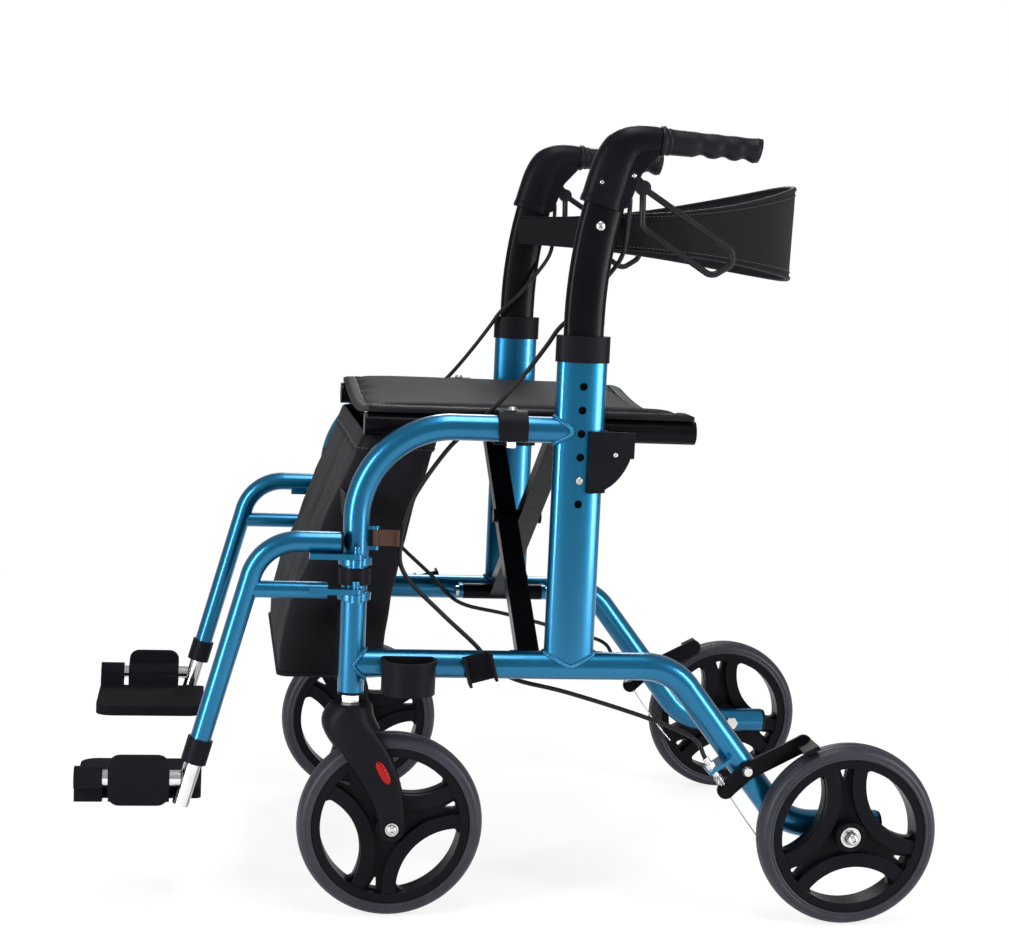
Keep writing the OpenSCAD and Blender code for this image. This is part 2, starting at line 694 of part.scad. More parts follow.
// A big opening: the part inside the rim ring and beyond the arched arm, with round corners
function opening_points() =
    let (
        r1 = opening_r - opening_corner_r,
        r2 = arch_r - opening_corner_r,
        x = (r1 * r1 - r2 * r2 + arch_far * arch_far) / (2 * arch_far),
        y = sqrt(r1 * r1 - x * x),
        rim_a = atan2(y, x),
        arch_a = atan2(y, x - arch_far),
        n = 8
    )
    [
        for (k = [-n : n]) opening_r * [cos(rim_a * k / n), sin(rim_a * k / n)],
        for (k = [1 : 5]) [x, y] + opening_corner_r * [cos(rim_a + (arch_a - rim_a) * k / 6), sin(rim_a + (arch_a - rim_a) * k / 6)],
        for (k = [0 : 2 * n]) let (a = arch_a + (360 - 2 * arch_a) * k / (2 * n)) [arch_far + arch_r * cos(a), arch_r * sin(a)],
        for (k = [5 : -1 : 1]) [x, -y] + opening_corner_r * [cos(rim_a + (arch_a - rim_a) * k / 6), -sin(rim_a + (arch_a - rim_a) * k / 6)]
    ];

module tyre_at() color(black) rotate_extrude($fn = 96) {
    crown_r = 26;
    intersection() {
        translate([rim_r, -tyre_w / 2]) square([tyre_depth, tyre_w]);
        translate([wheel_r - crown_r, 0]) circle(crown_r);
    }
}

module rim_at(phase) color(black) difference() {
    union() {
        rotate_extrude($fn = 96) translate([opening_r - web_lip, -tyre_w / 2 + 2])
            square([rim_ring_depth + web_lip - seat_gap, tyre_w - 4]);
        linear_extrude(rim_web_t, center = true) difference() {
            circle(opening_r + eps);
            for (k = [0 : 2]) rotate(phase + 120 * k) polygon(opening_points());
        }
        linear_extrude(rim_arm_t, center = true) intersection() {
            circle(opening_r + eps);
            for (k = [0 : 2]) rotate(phase + 120 * k) translate([arch_far, 0]) difference() {
                circle(arch_r + rim_arm_w, $fn = 96);
                circle(arch_r + web_lip, $fn = 96);
            }
        }
        cylinder(d = hub_d, h = hub_w, center = true);
    }
    cylinder(d = axle_d + 2, h = 2 * hub_w, center = true);
    for (s = [-1, 1]) translate([0, 0, s * (hub_w / 2 - bearing_w / 2 + eps / 2)])
        cylinder(d = bearing_d + 2 * run_gap, h = bearing_w + eps + 2 * clear_gap, center = true);
    for (k = [0 : 2]) rotate(phase + 60 + 120 * k) linear_extrude(2 * rim_arm_t, center = true) polygon(rounded(
        [[opening_r - 18, 0], [opening_r - 3, -rim_slot_w / 2], [opening_r - 3, rim_slot_w / 2]], [1, 2, 2]));
}

rear_phase = -84;
caster_phase = -43;

module at_rear_wheel() side(rear_wheel_x) translate([rear_axle_y, wheel_r, 0]) children();
module at_caster_wheel() side() translate([caster_axle_y, wheel_r, 0]) children();
module rear_tyre() at_rear_wheel() tyre_at();
module rear_rim() at_rear_wheel() rim_at(rear_phase);
module caster_tyre() at_caster_wheel() tyre_at();
module caster_rim() at_caster_wheel() rim_at(caster_phase);

// Caster fork: a moulded head on the stem, sweeping back into two legs
fork_half_w = fork_gap / 2 + fork_leg_t;
fork_eye_r = 15;
reflector_z = 161;
reflector_h = 26;
reflector_w = 10;
fork_outline = [
    [post_y - 20, fork_top_z], [post_y - 30, fork_top_z - 14], [post_y - 22, wheel_r + 95],
    [post_y + 6, wheel_r + 58], [caster_axle_y - fork_eye_r, wheel_r + 14],
    [caster_axle_y - fork_eye_r, wheel_r - fork_eye_r], [caster_axle_y + fork_eye_r, wheel_r - fork_eye_r],
    [caster_axle_y + fork_eye_r, wheel_r + 22], [post_y + 50, wheel_r + 66], [post_y + 34, wheel_r + 104],
    [post_y + 22, fork_top_z]];
fork_rounds = [4, 14, 12, 40, 30, 14.5, 14.5, 40, 40, 30, 3];

module fork_head_front() polygon(rounded([
    [frame_x - fork_half_w, 0], [frame_x + fork_half_w, 0], [frame_x + fork_half_w, fork_top_z - 24],
    [frame_x + 21, fork_top_z], [frame_x - 21, fork_top_z], [frame_x - fork_half_w, fork_top_z - 24]],
    [0, 0, 16, 5, 5, 16]));

module caster_fork() color(black) difference() {
    intersection() {
        side() linear_extrude(2 * fork_half_w, center = true) polygon(rounded(fork_outline, fork_rounds));
        cross_plane(caster_axle_y + wheel_r) linear_extrude(2 * wheel_r) fork_head_front();
    }
    at_caster_wheel() cylinder(r = wheel_r + fork_tyre_gap, h = fork_gap, center = true, $fn = 96);
    translate([frame_x, post_y, fork_top_z - 26]) cylinder(d = stem_d + 2 * run_gap, h = 30);
    at_caster_wheel() cylinder(d = axle_d + 2 * seat_gap, h = 4 * fork_gap, center = true);
    for (s = [-1, 1]) side() translate([caster_axle_y - 9, reflector_z, s * (fork_half_w + 0.5)])
        rotate(-61) linear_extrude(3, center = true) oval(reflector_h / 2, reflector_w / 2, reflector_w / 4);
}

module caster_axle() color(steel) at_caster_wheel() {
    cylinder(d = axle_d, h = 2 * fork_half_w + 1, center = true);
    bearing_pair(0);
    for (s = [-1, 1]) translate([0, 0, s * (fork_half_w + seat_gap + 1.5)]) cylinder(d = 14, h = 3, center = true);
}

// Cross brace: two bars that cross under the seat, each on a foot tube, each carrying a seat rail
stud_head = 3;

module brace_body(y_mid, s) difference() {
    union() {
        cross_plane(y_mid + brace_bar_w / 2) linear_extrude(brace_bar_w)
            translate([s * brace_foot_x, base_rail_z]) rotate(s > 0 ? 180 - brace_angle : brace_angle)
            translate([0, -brace_bar_t / 2]) square([brace_len, brace_bar_t]);
        translate([s * brace_foot_x, brace_foot_y, base_rail_z]) rotate([-90, 0, 0])
            cylinder(d = brace_foot_d, h = brace_foot_len);
    }
    cross_plane(y_mid + brace_bar_w / 2 - tube_wall) linear_extrude(brace_bar_w - 2 * tube_wall)
        translate([s * brace_foot_x, base_rail_z]) rotate(s > 0 ? 180 - brace_angle : brace_angle)
        translate([brace_foot_d / 2, -brace_bar_t / 2 + tube_wall]) square([brace_len, brace_bar_t - 2 * tube_wall]);
    translate([-s * seat_rail_x, seat_front_y, seat_rail_z]) rotate([-90, 0, 0]) cylinder(d = seat_rail_d, h = seat_len);
    translate([s * brace_foot_x, brace_foot_y - eps, base_rail_z]) rotate([-90, 0, 0])
        cylinder(d = fold_pin_d + 2 * run_gap, h = brace_foot_len + 2 * eps);
    translate([0, y_mid - brace_bar_w, brace_mid_z]) rotate([-90, 0, 0])
        cylinder(d = fold_pin_d + 2 * run_gap, h = 2 * brace_bar_w);
}

module brace_bar_a() color(black) {
    stud_y = brace_bar_y - brace_bar_w / 2 - stud_head;
    stud_len = 2 * brace_bar_w + brace_gap + 2 * stud_head + 1;
    brace_body(brace_bar_y, 1);
    translate([0, stud_y, brace_mid_z]) rotate([-90, 0, 0]) {
        cylinder(d = fold_pin_d, h = stud_len);
        cylinder(d = 2 * fold_pin_d, h = stud_head + eps);
        translate([0, 0, stud_len - stud_head]) cylinder(d = 2 * fold_pin_d, h = stud_head);
        translate([0, 0, stud_head + brace_bar_w - eps]) cylinder(d = 2 * fold_pin_d, h = brace_gap - clear_gap + eps);
    }
}

module brace_bar_b() color(black) brace_body(rear_bar_y, -1);

module seat_rail() color(black) translate([seat_rail_x, seat_front_y, seat_rail_z]) rotate([-90, 0, 0]) difference() {
    cap_t = 4;
    cylinder(d = seat_rail_d, h = seat_len);
    translate([0, 0, cap_t]) cylinder(d = seat_rail_d - 2 * tube_wall, h = seat_len - 2 * cap_t);
    translate([0, 0, -eps]) cylinder(d = 3, h = seat_len + 2 * eps);
}

// Closed sheet between a grid of upper points and a grid of lower points
module sheet(upper, lower) {
    ny = len(upper);
    nx = len(upper[0]);
    total = nx * ny;
    rim = concat([for (i = [0 : nx - 1]) i], [for (j = [1 : ny - 1]) j * nx + nx - 1],
        [for (i = [nx - 2 : -1 : 0]) (ny - 1) * nx + i], [for (j = [ny - 2 : -1 : 1]) j * nx]);
    polyhedron(
        [for (row = upper) each row, for (row = lower) each row],
        [
            for (j = [0 : ny - 2], i = [0 : nx - 2]) let (a = j * nx + i)
                each [[a, a + nx, a + 1], [a + 1, a + nx, a + nx + 1]],
            for (j = [0 : ny - 2], i = [0 : nx - 2]) let (a = total + j * nx + i)
                each [[a, a + 1, a + nx], [a + 1, a + nx + 1, a + nx]],
            for (k = [0 : len(rim) - 1]) let (a = rim[k], b = rim[(k + 1) % len(rim)])
                each [[a, b, total + a], [b, total + b, total + a]]
        ]);
}

// Padded seat sling: lies on the two seat rails, sags between them and is drawn in at its edges
sling_half_w = seat_rail_x + seat_rail_d / 2;
sling_rest_x = seat_rail_x - seat_rail_d / 2 - 2;
sling_hem = 3;

function sling_low(x) = seat_rail_z + seat_rail_d / 2 + clear_gap
    - sling_sag * (1 - pow(min(abs(x), sling_rest_x) / sling_rest_x, 2));
function sling_swell(u, v) = sling_t * (0.4 + 0.6 * pow(max(0, (1 - pow(u, 6)) * (1 - pow(v, 6))), 0.5));

module seat_sling() color("#2a2a2e") {
    nx = 18;
    ny = 12;
    span = seat_len - 2 * sling_hem;
    grid = [for (j = [0 : ny]) [for (i = [0 : nx]) [2 * i / nx - 1, 2 * j / ny - 1]]];
    mid_y = seat_front_y + seat_len / 2;
    low = [for (row = grid) [for (p = row) [p.x * sling_half_w, mid_y + p.y * span / 2, sling_low(p.x * sling_half_w)]]];
    high = [for (j = [0 : ny]) [for (i = [0 : nx]) low[j][i] + [0, 0, sling_swell(grid[j][i].x, grid[j][i].y)]]];
    sheet(high, low);
}

// Handle tube: slides in the upright, leans back above the collar
lean_top = 14;
handle_path = [[upright_y, handle_foot_z], lean_corner, lean_end + lean_dir * lean_top];
button_d = 7.8;
button_out = 3;
strap_bolt_at = lean_corner + lean_dir * 41;

module handle_tube() color(black) {
    difference() {
        side() follow(handle_path, [lean_r]) handle_section();
        side() follow(lengthened(handle_path, eps), [lean_r]) handle_section(-tube_wall);
        side() translate([upright_y, set_hole_z, 0]) cylinder(d = button_d + 2 * run_gap, h = handle_w);
    }
    side() translate([strap_bolt_at.x, strap_bolt_at.y, handle_w / 2 - tube_wall / 2]) cylinder(d = 13, h = tube_wall / 2 + 2.5);
}

// Spring button that locks the handle's height
module height_button() color(steel) side() translate([upright_y, set_hole_z, 0]) {
    flange_h = 2;
    out = upright_w / 2 + button_out;
    inner = handle_w / 2 - tube_wall - 2 * clear_gap - flange_h;
    translate([0, 0, inner - 3]) cylinder(d = button_d, h = out - inner + 2);
    translate([0, 0, out - 1]) cylinder(d1 = button_d, d2 = button_d - 2, h = 1);
    translate([0, 0, inner]) cylinder(d = button_d + 3, h = flange_h);
}

// Moulded elbow: cap of the handle tube, slot and pin of the brake lever, and the grip's core
housing_half_l = 23.5;
lever_slot_w = 8.4;
core_inset = 6;
housing_outline = [
    lean_end - housing_half_l * [lean_dir.y, -lean_dir.x],
    lean_end + housing_half_l * [lean_dir.y, -lean_dir.x],
    [lever_y + 9, lever_z + 2], [grip_y - 1, grip_z - 16], [grip_y - 1, grip_z + 12],
    [grip_y - 31, grip_z + 12.5], lean_end + [-17, 44]];
housing_rounds = [6, 6, 12, 3, 3, 40, 20];

module at_grip() translate([frame_x, grip_y, grip_z]) rotate([-90 - grip_slope, 0, 0]) children();

module handle_housing() color(black) {
    difference() {
        union() {
            intersection() {
                side() linear_extrude(2 * elbow_half_w, center = true) polygon(rounded(housing_outline, housing_rounds));
                cross_plane(grip_y + 20) linear_extrude(200) polygon(rounded([
                    [frame_x - elbow_half_w, lean_end.y - 40], [frame_x + elbow_half_w, lean_end.y - 40],
                    [frame_x + elbow_half_w, grip_z + 14], [frame_x - elbow_half_w, grip_z + 14]], [0, 0, 11, 11]));
            }
            at_grip() translate([0, 0, -20]) cylinder(d = grip_core_d, h = 20 + grip_len - core_inset - clear_gap);
        }
        side() follow(handle_path, [lean_r]) handle_section(seat_gap);
        side() translate([lever_y - 10, lever_z - 60, -lever_slot_w / 2]) cube([80, 71, lever_slot_w]);
        side() translate([lean_end.x - 7, lean_end.y + 22, elbow_half_w - 2]) cylinder(d = 7, h = 3);
    }
    side() translate([lever_y, lever_z, 0]) cylinder(d = lever_pin_d, h = 2 * elbow_half_w - 4, center = true);
}

// Soft grip with finger grooves below and a slanted end
module grip() color(black) at_grip() difference() {
    groove_r = 14;
    flange_h = 5;
    union() {
        cylinder(d = grip_d, h = grip_len);
        cylinder(d = grip_d + 5, h = flange_h);
    }
    translate([0, 0, -eps]) cylinder(d = grip_core_d + 2 * seat_gap, h = grip_len - core_inset + eps);
    for (z = [45, 69, 92]) translate([0, grip_d / 2 + groove_r - 2.5, z]) rotate([0, 90, 0])
        cylinder(r = groove_r, h = 2 * grip_d, center = true);
    translate([0, grip_d / 2, grip_len - 4]) rotate([14, 0, 0]) translate([-grip_d, -2 * grip_d, 0])
        cube([2 * grip_d, 4 * grip_d, 20]);
}

// Brake lever: a closed loop of rod on a flat root that turns on the housing's pin
lever_at = [lever_y, lever_z];
loop_near_top = lever_at + [12.6, -11.9];
loop_tip_top = lever_at + [123.8, -81];
loop_tip_low = lever_at + [91.9, -101.9];
loop_near_low = lever_at + [13.8, -53.4];
lever_boss_r = 8;
loop_end = 6;

module flat_link(a, b, w) {
    v = b - a;
    translate(a) rotate(atan2(v.y, v.x)) translate([0, -w / 2]) square([norm(v), w]);
    translate(a) circle(d = w + ear_inset);
    translate(b) circle(d = w + ear_inset);
}

module brake_lever() color(black) difference() {
    root_t = lever_slot_w - 2 * clear_gap;
    union() {
        side() follow([loop_near_top + loop_end * unit(loop_tip_top - loop_near_top), loop_tip_top, loop_tip_low,
            loop_near_low, loop_near_top + loop_end * unit(loop_near_low - loop_near_top)], [12, 12, 9])
            circle(d = lever_rod_d, $fn = 24);
        side() linear_extrude(root_t, center = true) {
            flat_link(lever_at, loop_near_top, lever_boss_r + 3);
            translate(lever_at) circle(lever_boss_r);
            translate(loop_near_top) circle(loop_end + 2);
        }
    }
    side() translate(lever_at) cylinder(d = lever_pin_d + 2 * run_gap, h = 20, center = true);
}

// Brake arm: a strip on the leg's pivot bolt with the cable's clamp below and the shoe above
brake_pivot = [brake_pivot_y, brake_pivot_z];
brake_clamp = brake_pivot + [-22.7, -21];
shoe_at = [rear_axle_y, wheel_r] + (wheel_r + shoe_gap + shoe_t / 2) * [cos(shoe_angle), sin(shoe_angle)];

module brake_arm() color(black) difference() {
    union() {
        side() translate([0, 0, brake_arm_in]) linear_extrude(brake_arm_t) {
            flat_link(brake_clamp, brake_pivot, brake_arm_w);
            flat_link(brake_pivot, shoe_at, brake_arm_w);
        }
        side() translate([brake_clamp.x, brake_clamp.y, brake_arm_in - 6]) cylinder(d = 13, h = brake_arm_t + 9);
        side() translate([rear_axle_y, wheel_r, brake_arm_in]) rotate(shoe_angle)
            translate([wheel_r + shoe_gap, -shoe_len / 2, 0])
            cube([shoe_t, shoe_len, rear_wheel_out + tyre_w / 2 - brake_arm_in]);
    }
    side() translate([brake_pivot.x, brake_pivot.y, 0]) cylinder(d = brake_bolt_d + 2 * run_gap, h = 2 * base_rail_d);
}

// Brake cable: sheath from the lever's slot, round the upright and under the seat to the adjuster
pull_dir = [cos(pull_angle), sin(pull_angle)];
function on_pull(s) = let (p = stop_at + s * pull_dir) [frame_x + base_rail_d / 2, p.x, p.y];
cable_points = [
    [frame_x, lever_y - 0.4, lever_z - 24], [frame_x - 1, lever_y - 0.4, lever_z - 38],
    [236, 96, 735], [230, 92, 712], [224, 78, 690], [223, 50, 655], [224, 30, 635], [225, 18, 617],
    [225, -5, 585], [222, -32, 552], [221, -58, 527], [221, -85, 500], [220, -119, 446], [220, -130, 397],
    [220, -123, 365], [219, -84, 326], [218, -45, 291], [218, -24, 268], [220, 2, 253], [225, 57, 241], [237, 140, 218],
    on_pull(-44), on_pull(-18), on_pull(-11)];
function spline(a, b, c, d, t) = 0.5 * ((2 * b) + (c - a) * t + (2 * a - 5 * b + 4 * c - d) * t * t
    + (3 * b - a - 3 * c + d) * t * t * t);
function smooth_path(p, m) = let (n = len(p))
    [for (i = [0 : n - 2], k = [0 : m - 1])
        spline(p[max(i - 1, 0)], p[i], p[i + 1], p[min(i + 2, n - 1)], k / m), p[n - 1]];

module cord(points, d, sides = 8) {
    n = len(points);
    rings = [for (i = [0 : n - 1]) let (
            t = unit(points[min(i + 1, n - 1)] - points[max(i - 1, 0)]),
            u = unit(cross(t, [1, 0, 0])),
            w = cross(t, u))
        for (k = [0 : sides - 1]) points[i] + d / 2 * (cos(360 * k / sides) * u + sin(360 * k / sides) * w)];
    polyhedron(rings, [
        [for (k = [0 : sides - 1]) k],
        [for (k = [sides - 1 : -1 : 0]) (n - 1) * sides + k],
        for (i = [0 : n - 2], k = [0 : sides - 1]) let (a = i * sides + k, b = i * sides + (k + 1) % sides)
            each [[a, a + sides, b], [b, a + sides, b + sides]]
    ]);
}

module brake_cable() color(black) cord(smooth_path(cable_points, 2), cable_d);

// Footrest hanger: bent tube with a lower stay and two hinge plates that drop on the post's pins
hanger_wall = (hanger_d - foot_tube_d) / 2 - run_gap;
hanger_path = [[hanger_back_y, hanger_top_z], hanger_corner, hanger_at(hanger_foot_z)];
stay_back_y = hanger_back_y - 12;
plate_reach = 20;

module hinge_plate(z) translate([0, 0, z + clear_gap]) {
    translate([hinge_x, post_y, 0]) cylinder(d = lug_ear_d, h = hinge_plate_t);
    translate([hinge_x - lug_ear_d / 2 + ear_inset, stay_back_y - plate_reach, 0])
        cube([lug_ear_d - 2 * ear_inset, post_y - stay_back_y + plate_reach, hinge_plate_t]);
}

module hanger() color(blue) difference() {
    union() {
        side(hanger_x) follow(hanger_path, [hanger_bend_r]) circle(d = hanger_d);
        side(hanger_x) follow([[hanger_at(hanger_stay_z).x, hanger_stay_z], [stay_back_y, hanger_stay_z]])
            circle(d = hanger_stay_d);
        for (z = [lower_lug_z, upper_lug_z]) hinge_plate(z);
        translate([hanger_x - 4, stay_back_y - plate_reach + 2, upper_lug_z + clear_gap + 1])
            cube([8, plate_reach - 4, hanger_top_z - upper_lug_z]);
    }
    side(hanger_x) follow(lengthened(hanger_path, eps), [hanger_bend_r]) circle(d = hanger_d - 2 * hanger_wall);
    translate([hinge_x, post_y, 0]) cylinder(d = hinge_pin_d + 2 * run_gap, h = 2 * hanger_top_z);
}

// Moulded collar at the hanger's foot and plug in its rear end
collar_over = 11;
foot_collar_h = 26;
foot_collar_d = 27;

module hanger_collar() color(black) {
    low = hanger_at(hanger_foot_z) + hanger_dir * collar_over;
    side(hanger_x) difference() {
        follow([low, low - hanger_dir * foot_collar_h]) circle(d = foot_collar_d);
        follow([low + hanger_dir, low - hanger_dir * (foot_collar_h + eps)]) circle(d = foot_tube_d + 2 * clear_gap);
        follow([low - hanger_dir * (collar_over - seat_gap), low - hanger_dir * (foot_collar_h + eps)])
            circle(d = hanger_d + 2 * seat_gap);
    }
    side(hanger_x) follow([[hanger_back_y - 10, hanger_top_z], [hanger_back_y + seat_gap, hanger_top_z]])
        circle(d = foot_tube_d);
    side(hanger_x) follow([[hanger_back_y + seat_gap, hanger_top_z], [hanger_back_y + 3, hanger_top_z]])
        circle(d = hanger_d);
}

// Foot tube: slides in the hanger and carries the footplate's rod
foot_tube_top_z = 235;
rod_front_y = footplate_front_y + 2;

module foot_tube() color(steel) {
    side(hanger_x) difference() {
        follow([hanger_at(foot_tube_top_z), hanger_at(foot_tube_z)]) circle(d = foot_tube_d);
        follow([hanger_at(foot_tube_top_z) - hanger_dir, hanger_at(foot_tube_z + 4)]) circle(d = foot_tube_d - 2 * tube_wall);
    }
    side(hanger_x) follow([[hanger_at(foot_pivot_z).x - foot_tube_d / 2 + 1, foot_pivot_z], [rod_front_y, foot_pivot_z]])
        circle(d = foot_rod_d);
}

// Footplate: ribbed tread on two knuckles that turn on the rod, with an outboard guard
knuckle_d = foot_rod_d + 8;
knuckle_y = -429;
knuckle_len = 63;
front_knuckle_len = 29;
tread_outer_x = hanger_x - knuckle_d / 2 - 2;
tread_top_z = foot_pivot_z - tread_drop;
guard_out = 7;
guard_t = 6;
guard_h = 53;

module knuckle(y, length) {
    translate([hanger_x, y, foot_pivot_z]) rotate([-90, 0, 0]) cylinder(d = knuckle_d, h = length);
    translate([tread_outer_x - 12, y, tread_top_z - tread_t]) cube([hanger_x - tread_outer_x + 12, length, tread_t]);
    translate([tread_outer_x - 2, y, tread_top_z - 2]) cube([hanger_x - tread_outer_x + 2, length, tread_drop]);
}

module footplate() color(black) difference() {
    union() {
        translate([0, 0, tread_top_z - tread_t]) linear_extrude(tread_t) polygon(rounded([
            [footplate_inner_x, footplate_front_y], [tread_outer_x, footplate_front_y],
            [tread_outer_x, footplate_front_y + footplate_len], [footplate_inner_x, footplate_front_y + footplate_len]],
            [18, 6, 6, 18]));
        knuckle(knuckle_y, knuckle_len);
        knuckle(footplate_front_y, front_knuckle_len);
        side(hanger_x) translate([0, 0, guard_out]) linear_extrude(guard_t) polygon(rounded([
            [knuckle_y, foot_pivot_z - guard_h / 2], [knuckle_y + knuckle_len, foot_pivot_z - guard_h / 2],
            [knuckle_y + knuckle_len, foot_pivot_z + guard_h / 2], [knuckle_y, foot_pivot_z + guard_h / 2]], 12));
    }
    translate([hanger_x, footplate_front_y - eps, foot_pivot_z]) rotate([-90, 0, 0])
        cylinder(d = foot_rod_d + 2 * run_gap, h = footplate_len + 2 * eps);
    translate([footplate_inner_x + 8, footplate_front_y + 8, tread_top_z - tread_t - eps])
        cube([tread_outer_x - footplate_inner_x - 22, footplate_len - 16, tread_t - 4 + eps]);
}

// Release lever of the footrest, on the post's latch pin
release_reach = 26;

module release_lever() color(black) difference() {
    translate([frame_x, latch_pin_y, latch_z]) {
        cylinder(d = 9, h = latch_h);
        translate([-2, 0, 0]) cube([4, release_reach, latch_h]);
        translate([-2, release_reach - 3, 0]) cube([7, 3, latch_h]);
    }
    translate([frame_x, latch_pin_y, latch_z - eps]) cylinder(d = latch_pin_d + 2 * run_gap, h = latch_h + 2 * eps);
}

// Back strap: a band between the handle tubes that bows back and is tallest in the middle
strap_front_y = upright_y - 4;
strap_half_w = frame_x - handle_w / 2 - clear_gap - strap_t / 2;
strap_depth = strap_rear_y - strap_front_y;

function strap_at(t) = [strap_half_w * cos(t), strap_front_y + strap_depth * sin(t)];
function strap_out(t) = unit([strap_depth * cos(t), strap_half_w * sin(t)]);
function strap_tall(t) = strap_end_h + (strap_mid_h - strap_end_h) * (1 - cos(2 * t)) / 2;
function strap_point(t, v, s) = let (p = strap_at(t) + s * strap_t / 2 * (1 - 0.4 * pow(v, 4)) * strap_out(t))
    [p.x, p.y, strap_z - strap_end_drop * (1 + cos(2 * t)) / 2 + v * strap_tall(t) / 2];
function strap_face(s, nt, nz) =
    [for (j = [0 : nz]) [for (i = [0 : nt]) strap_point(180 * i / nt, 2 * j / nz - 1, s)]];

module back_strap() color("#2a2a2e") sheet(strap_face(1, 28, 4), strap_face(-1, 28, 4));

// Storage bag under the seat's front, open at its top and tied to the four corners of the frame
bag_wall = 3;
bag_top_z = 512;
bag_outline = [[-170, 512], [-243, 330], [-254, 262], [-240, 245], [-150, 245], [-138, 265], [-126, 380], [-90, 512]];
bag_rounds = [0, 60, 12, 14, 14, 12, 40, 0];
bag_tab_w = 25;
bag_tab_t = 4;

module bag_body(shrink, top) {
    n_x = 8;
    outline = rounded(bag_outline, bag_rounds, 3);
    n = len(outline);
    mid = [-175, 380];
    half = bag_half_w - shrink;
    points = [for (i = [0 : n_x]) let (u = 2 * i / n_x - 1, swell = 1 - 0.07 * pow(u, 4) - shrink / 60)
        for (p = outline) let (q = mid + [(p.x - mid.x) * swell, (p.y - mid.y) * (1 - shrink / 135)])
            [u * half, q.x, p.y >= bag_top_z ? top : q.y]];
    last = n_x * n;
    ends = [for (s = [-1, 1]) [s * half, mid.x, mid.y]];
    polyhedron(concat(points, ends), [
        for (k = [0 : n - 1]) let (j = (k + 1) % n)
            each [[k, j, last + n], [last + j, last + k, last + n + 1]],
        for (i = [0 : n_x - 1], k = [0 : n - 1]) let (a = i * n + k, b = i * n + (k + 1) % n)
            each [[a, a + n, b], [b, a + n, b + n]]
    ]);
}

module storage_bag() color("#2a2a2e") {
    difference() {
        bag_body(0, bag_top_z);
        bag_body(bag_wall, bag_top_z + 10);
    }
    reach = frame_x - rail_d / 2 - clear_gap;
    for (s = [-1, 1], z = [300, 440]) translate([s > 0 ? bag_half_w - 2 : -reach, post_y - bag_tab_t / 2, z])
        cube([reach - bag_half_w + 2, bag_tab_t, bag_tab_w]);
}

upright();  // left_upright
mirror([1, 0, 0]) upright();  // right_upright
top_rail();  // left_top_rail
mirror([1, 0, 0]) top_rail();  // right_top_rail
base_rail();  // left_base_rail
mirror([1, 0, 0]) base_rail();  // right_base_rail
upright_collar();  // left_upright_collar
mirror([1, 0, 0]) upright_collar();  // right_upright_collar
frame_plugs();  // left_frame_plugs
mirror([1, 0, 0]) frame_plugs();  // right_frame_plugs
seat_brackets();  // left_seat_brackets
mirror([1, 0, 0]) seat_brackets();  // right_seat_brackets
hanger_clip();  // left_hanger_clip
mirror([1, 0, 0]) hanger_clip();  // right_hanger_clip
frame_hardware();  // left_frame_hardware
mirror([1, 0, 0]) frame_hardware();  // right_frame_hardware
brake_arm();  // left_brake_arm
mirror([1, 0, 0]) brake_arm();  // right_brake_arm
brake_cable();  // left_brake_cable
mirror([1, 0, 0]) brake_cable();  // right_brake_cable
rear_tyre();  // left_rear_tyre
mirror([1, 0, 0]) rear_tyre();  // right_rear_tyre
rear_rim();  // left_rear_rim
mirror([1, 0, 0]) rear_rim();  // right_rear_rim
caster_fork();  // left_caster_fork
mirror([1, 0, 0]) caster_fork();  // right_caster_fork
caster_axle();  // left_caster_axle
mirror([1, 0, 0]) caster_axle();  // right_caster_axle
caster_tyre();  // left_caster_tyre
mirror([1, 0, 0]) caster_tyre();  // right_caster_tyre
caster_rim();  // left_caster_rim
mirror([1, 0, 0]) caster_rim();  // right_caster_rim
seat_rail();  // left_seat_rail
mirror([1, 0, 0]) seat_rail();  // right_seat_rail
handle_tube();  // left_handle_tube
mirror([1, 0, 0]) handle_tube();  // right_handle_tube
height_button();  // left_height_button
mirror([1, 0, 0]) height_button();  // right_height_button
handle_housing();  // left_handle_housing
mirror([1, 0, 0]) handle_housing();  // right_handle_housing
grip();  // left_grip
mirror([1, 0, 0]) grip();  // right_grip
brake_lever();  // left_brake_lever
mirror([1, 0, 0]) brake_lever();  // right_brake_lever
hanger();  // left_hanger
mirror([1, 0, 0]) hanger();  // right_hanger
hanger_collar();  // left_hanger_collar
mirror([1, 0, 0]) hanger_collar();  // right_hanger_collar
foot_tube();  // left_foot_tube
mirror([1, 0, 0]) foot_tube();  // right_foot_tube
footplate();  // left_footplate
mirror([1, 0, 0]) footplate();  // right_footplate
release_lever();  // left_release_lever
mirror([1, 0, 0]) release_lever();  // right_release_lever
brace_bar_a();
brace_bar_b();
seat_sling();
back_strap();
storage_bag();
cane_cup();
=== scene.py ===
import math

import bmesh
import bpy
from mathutils import Matrix, Vector, noise


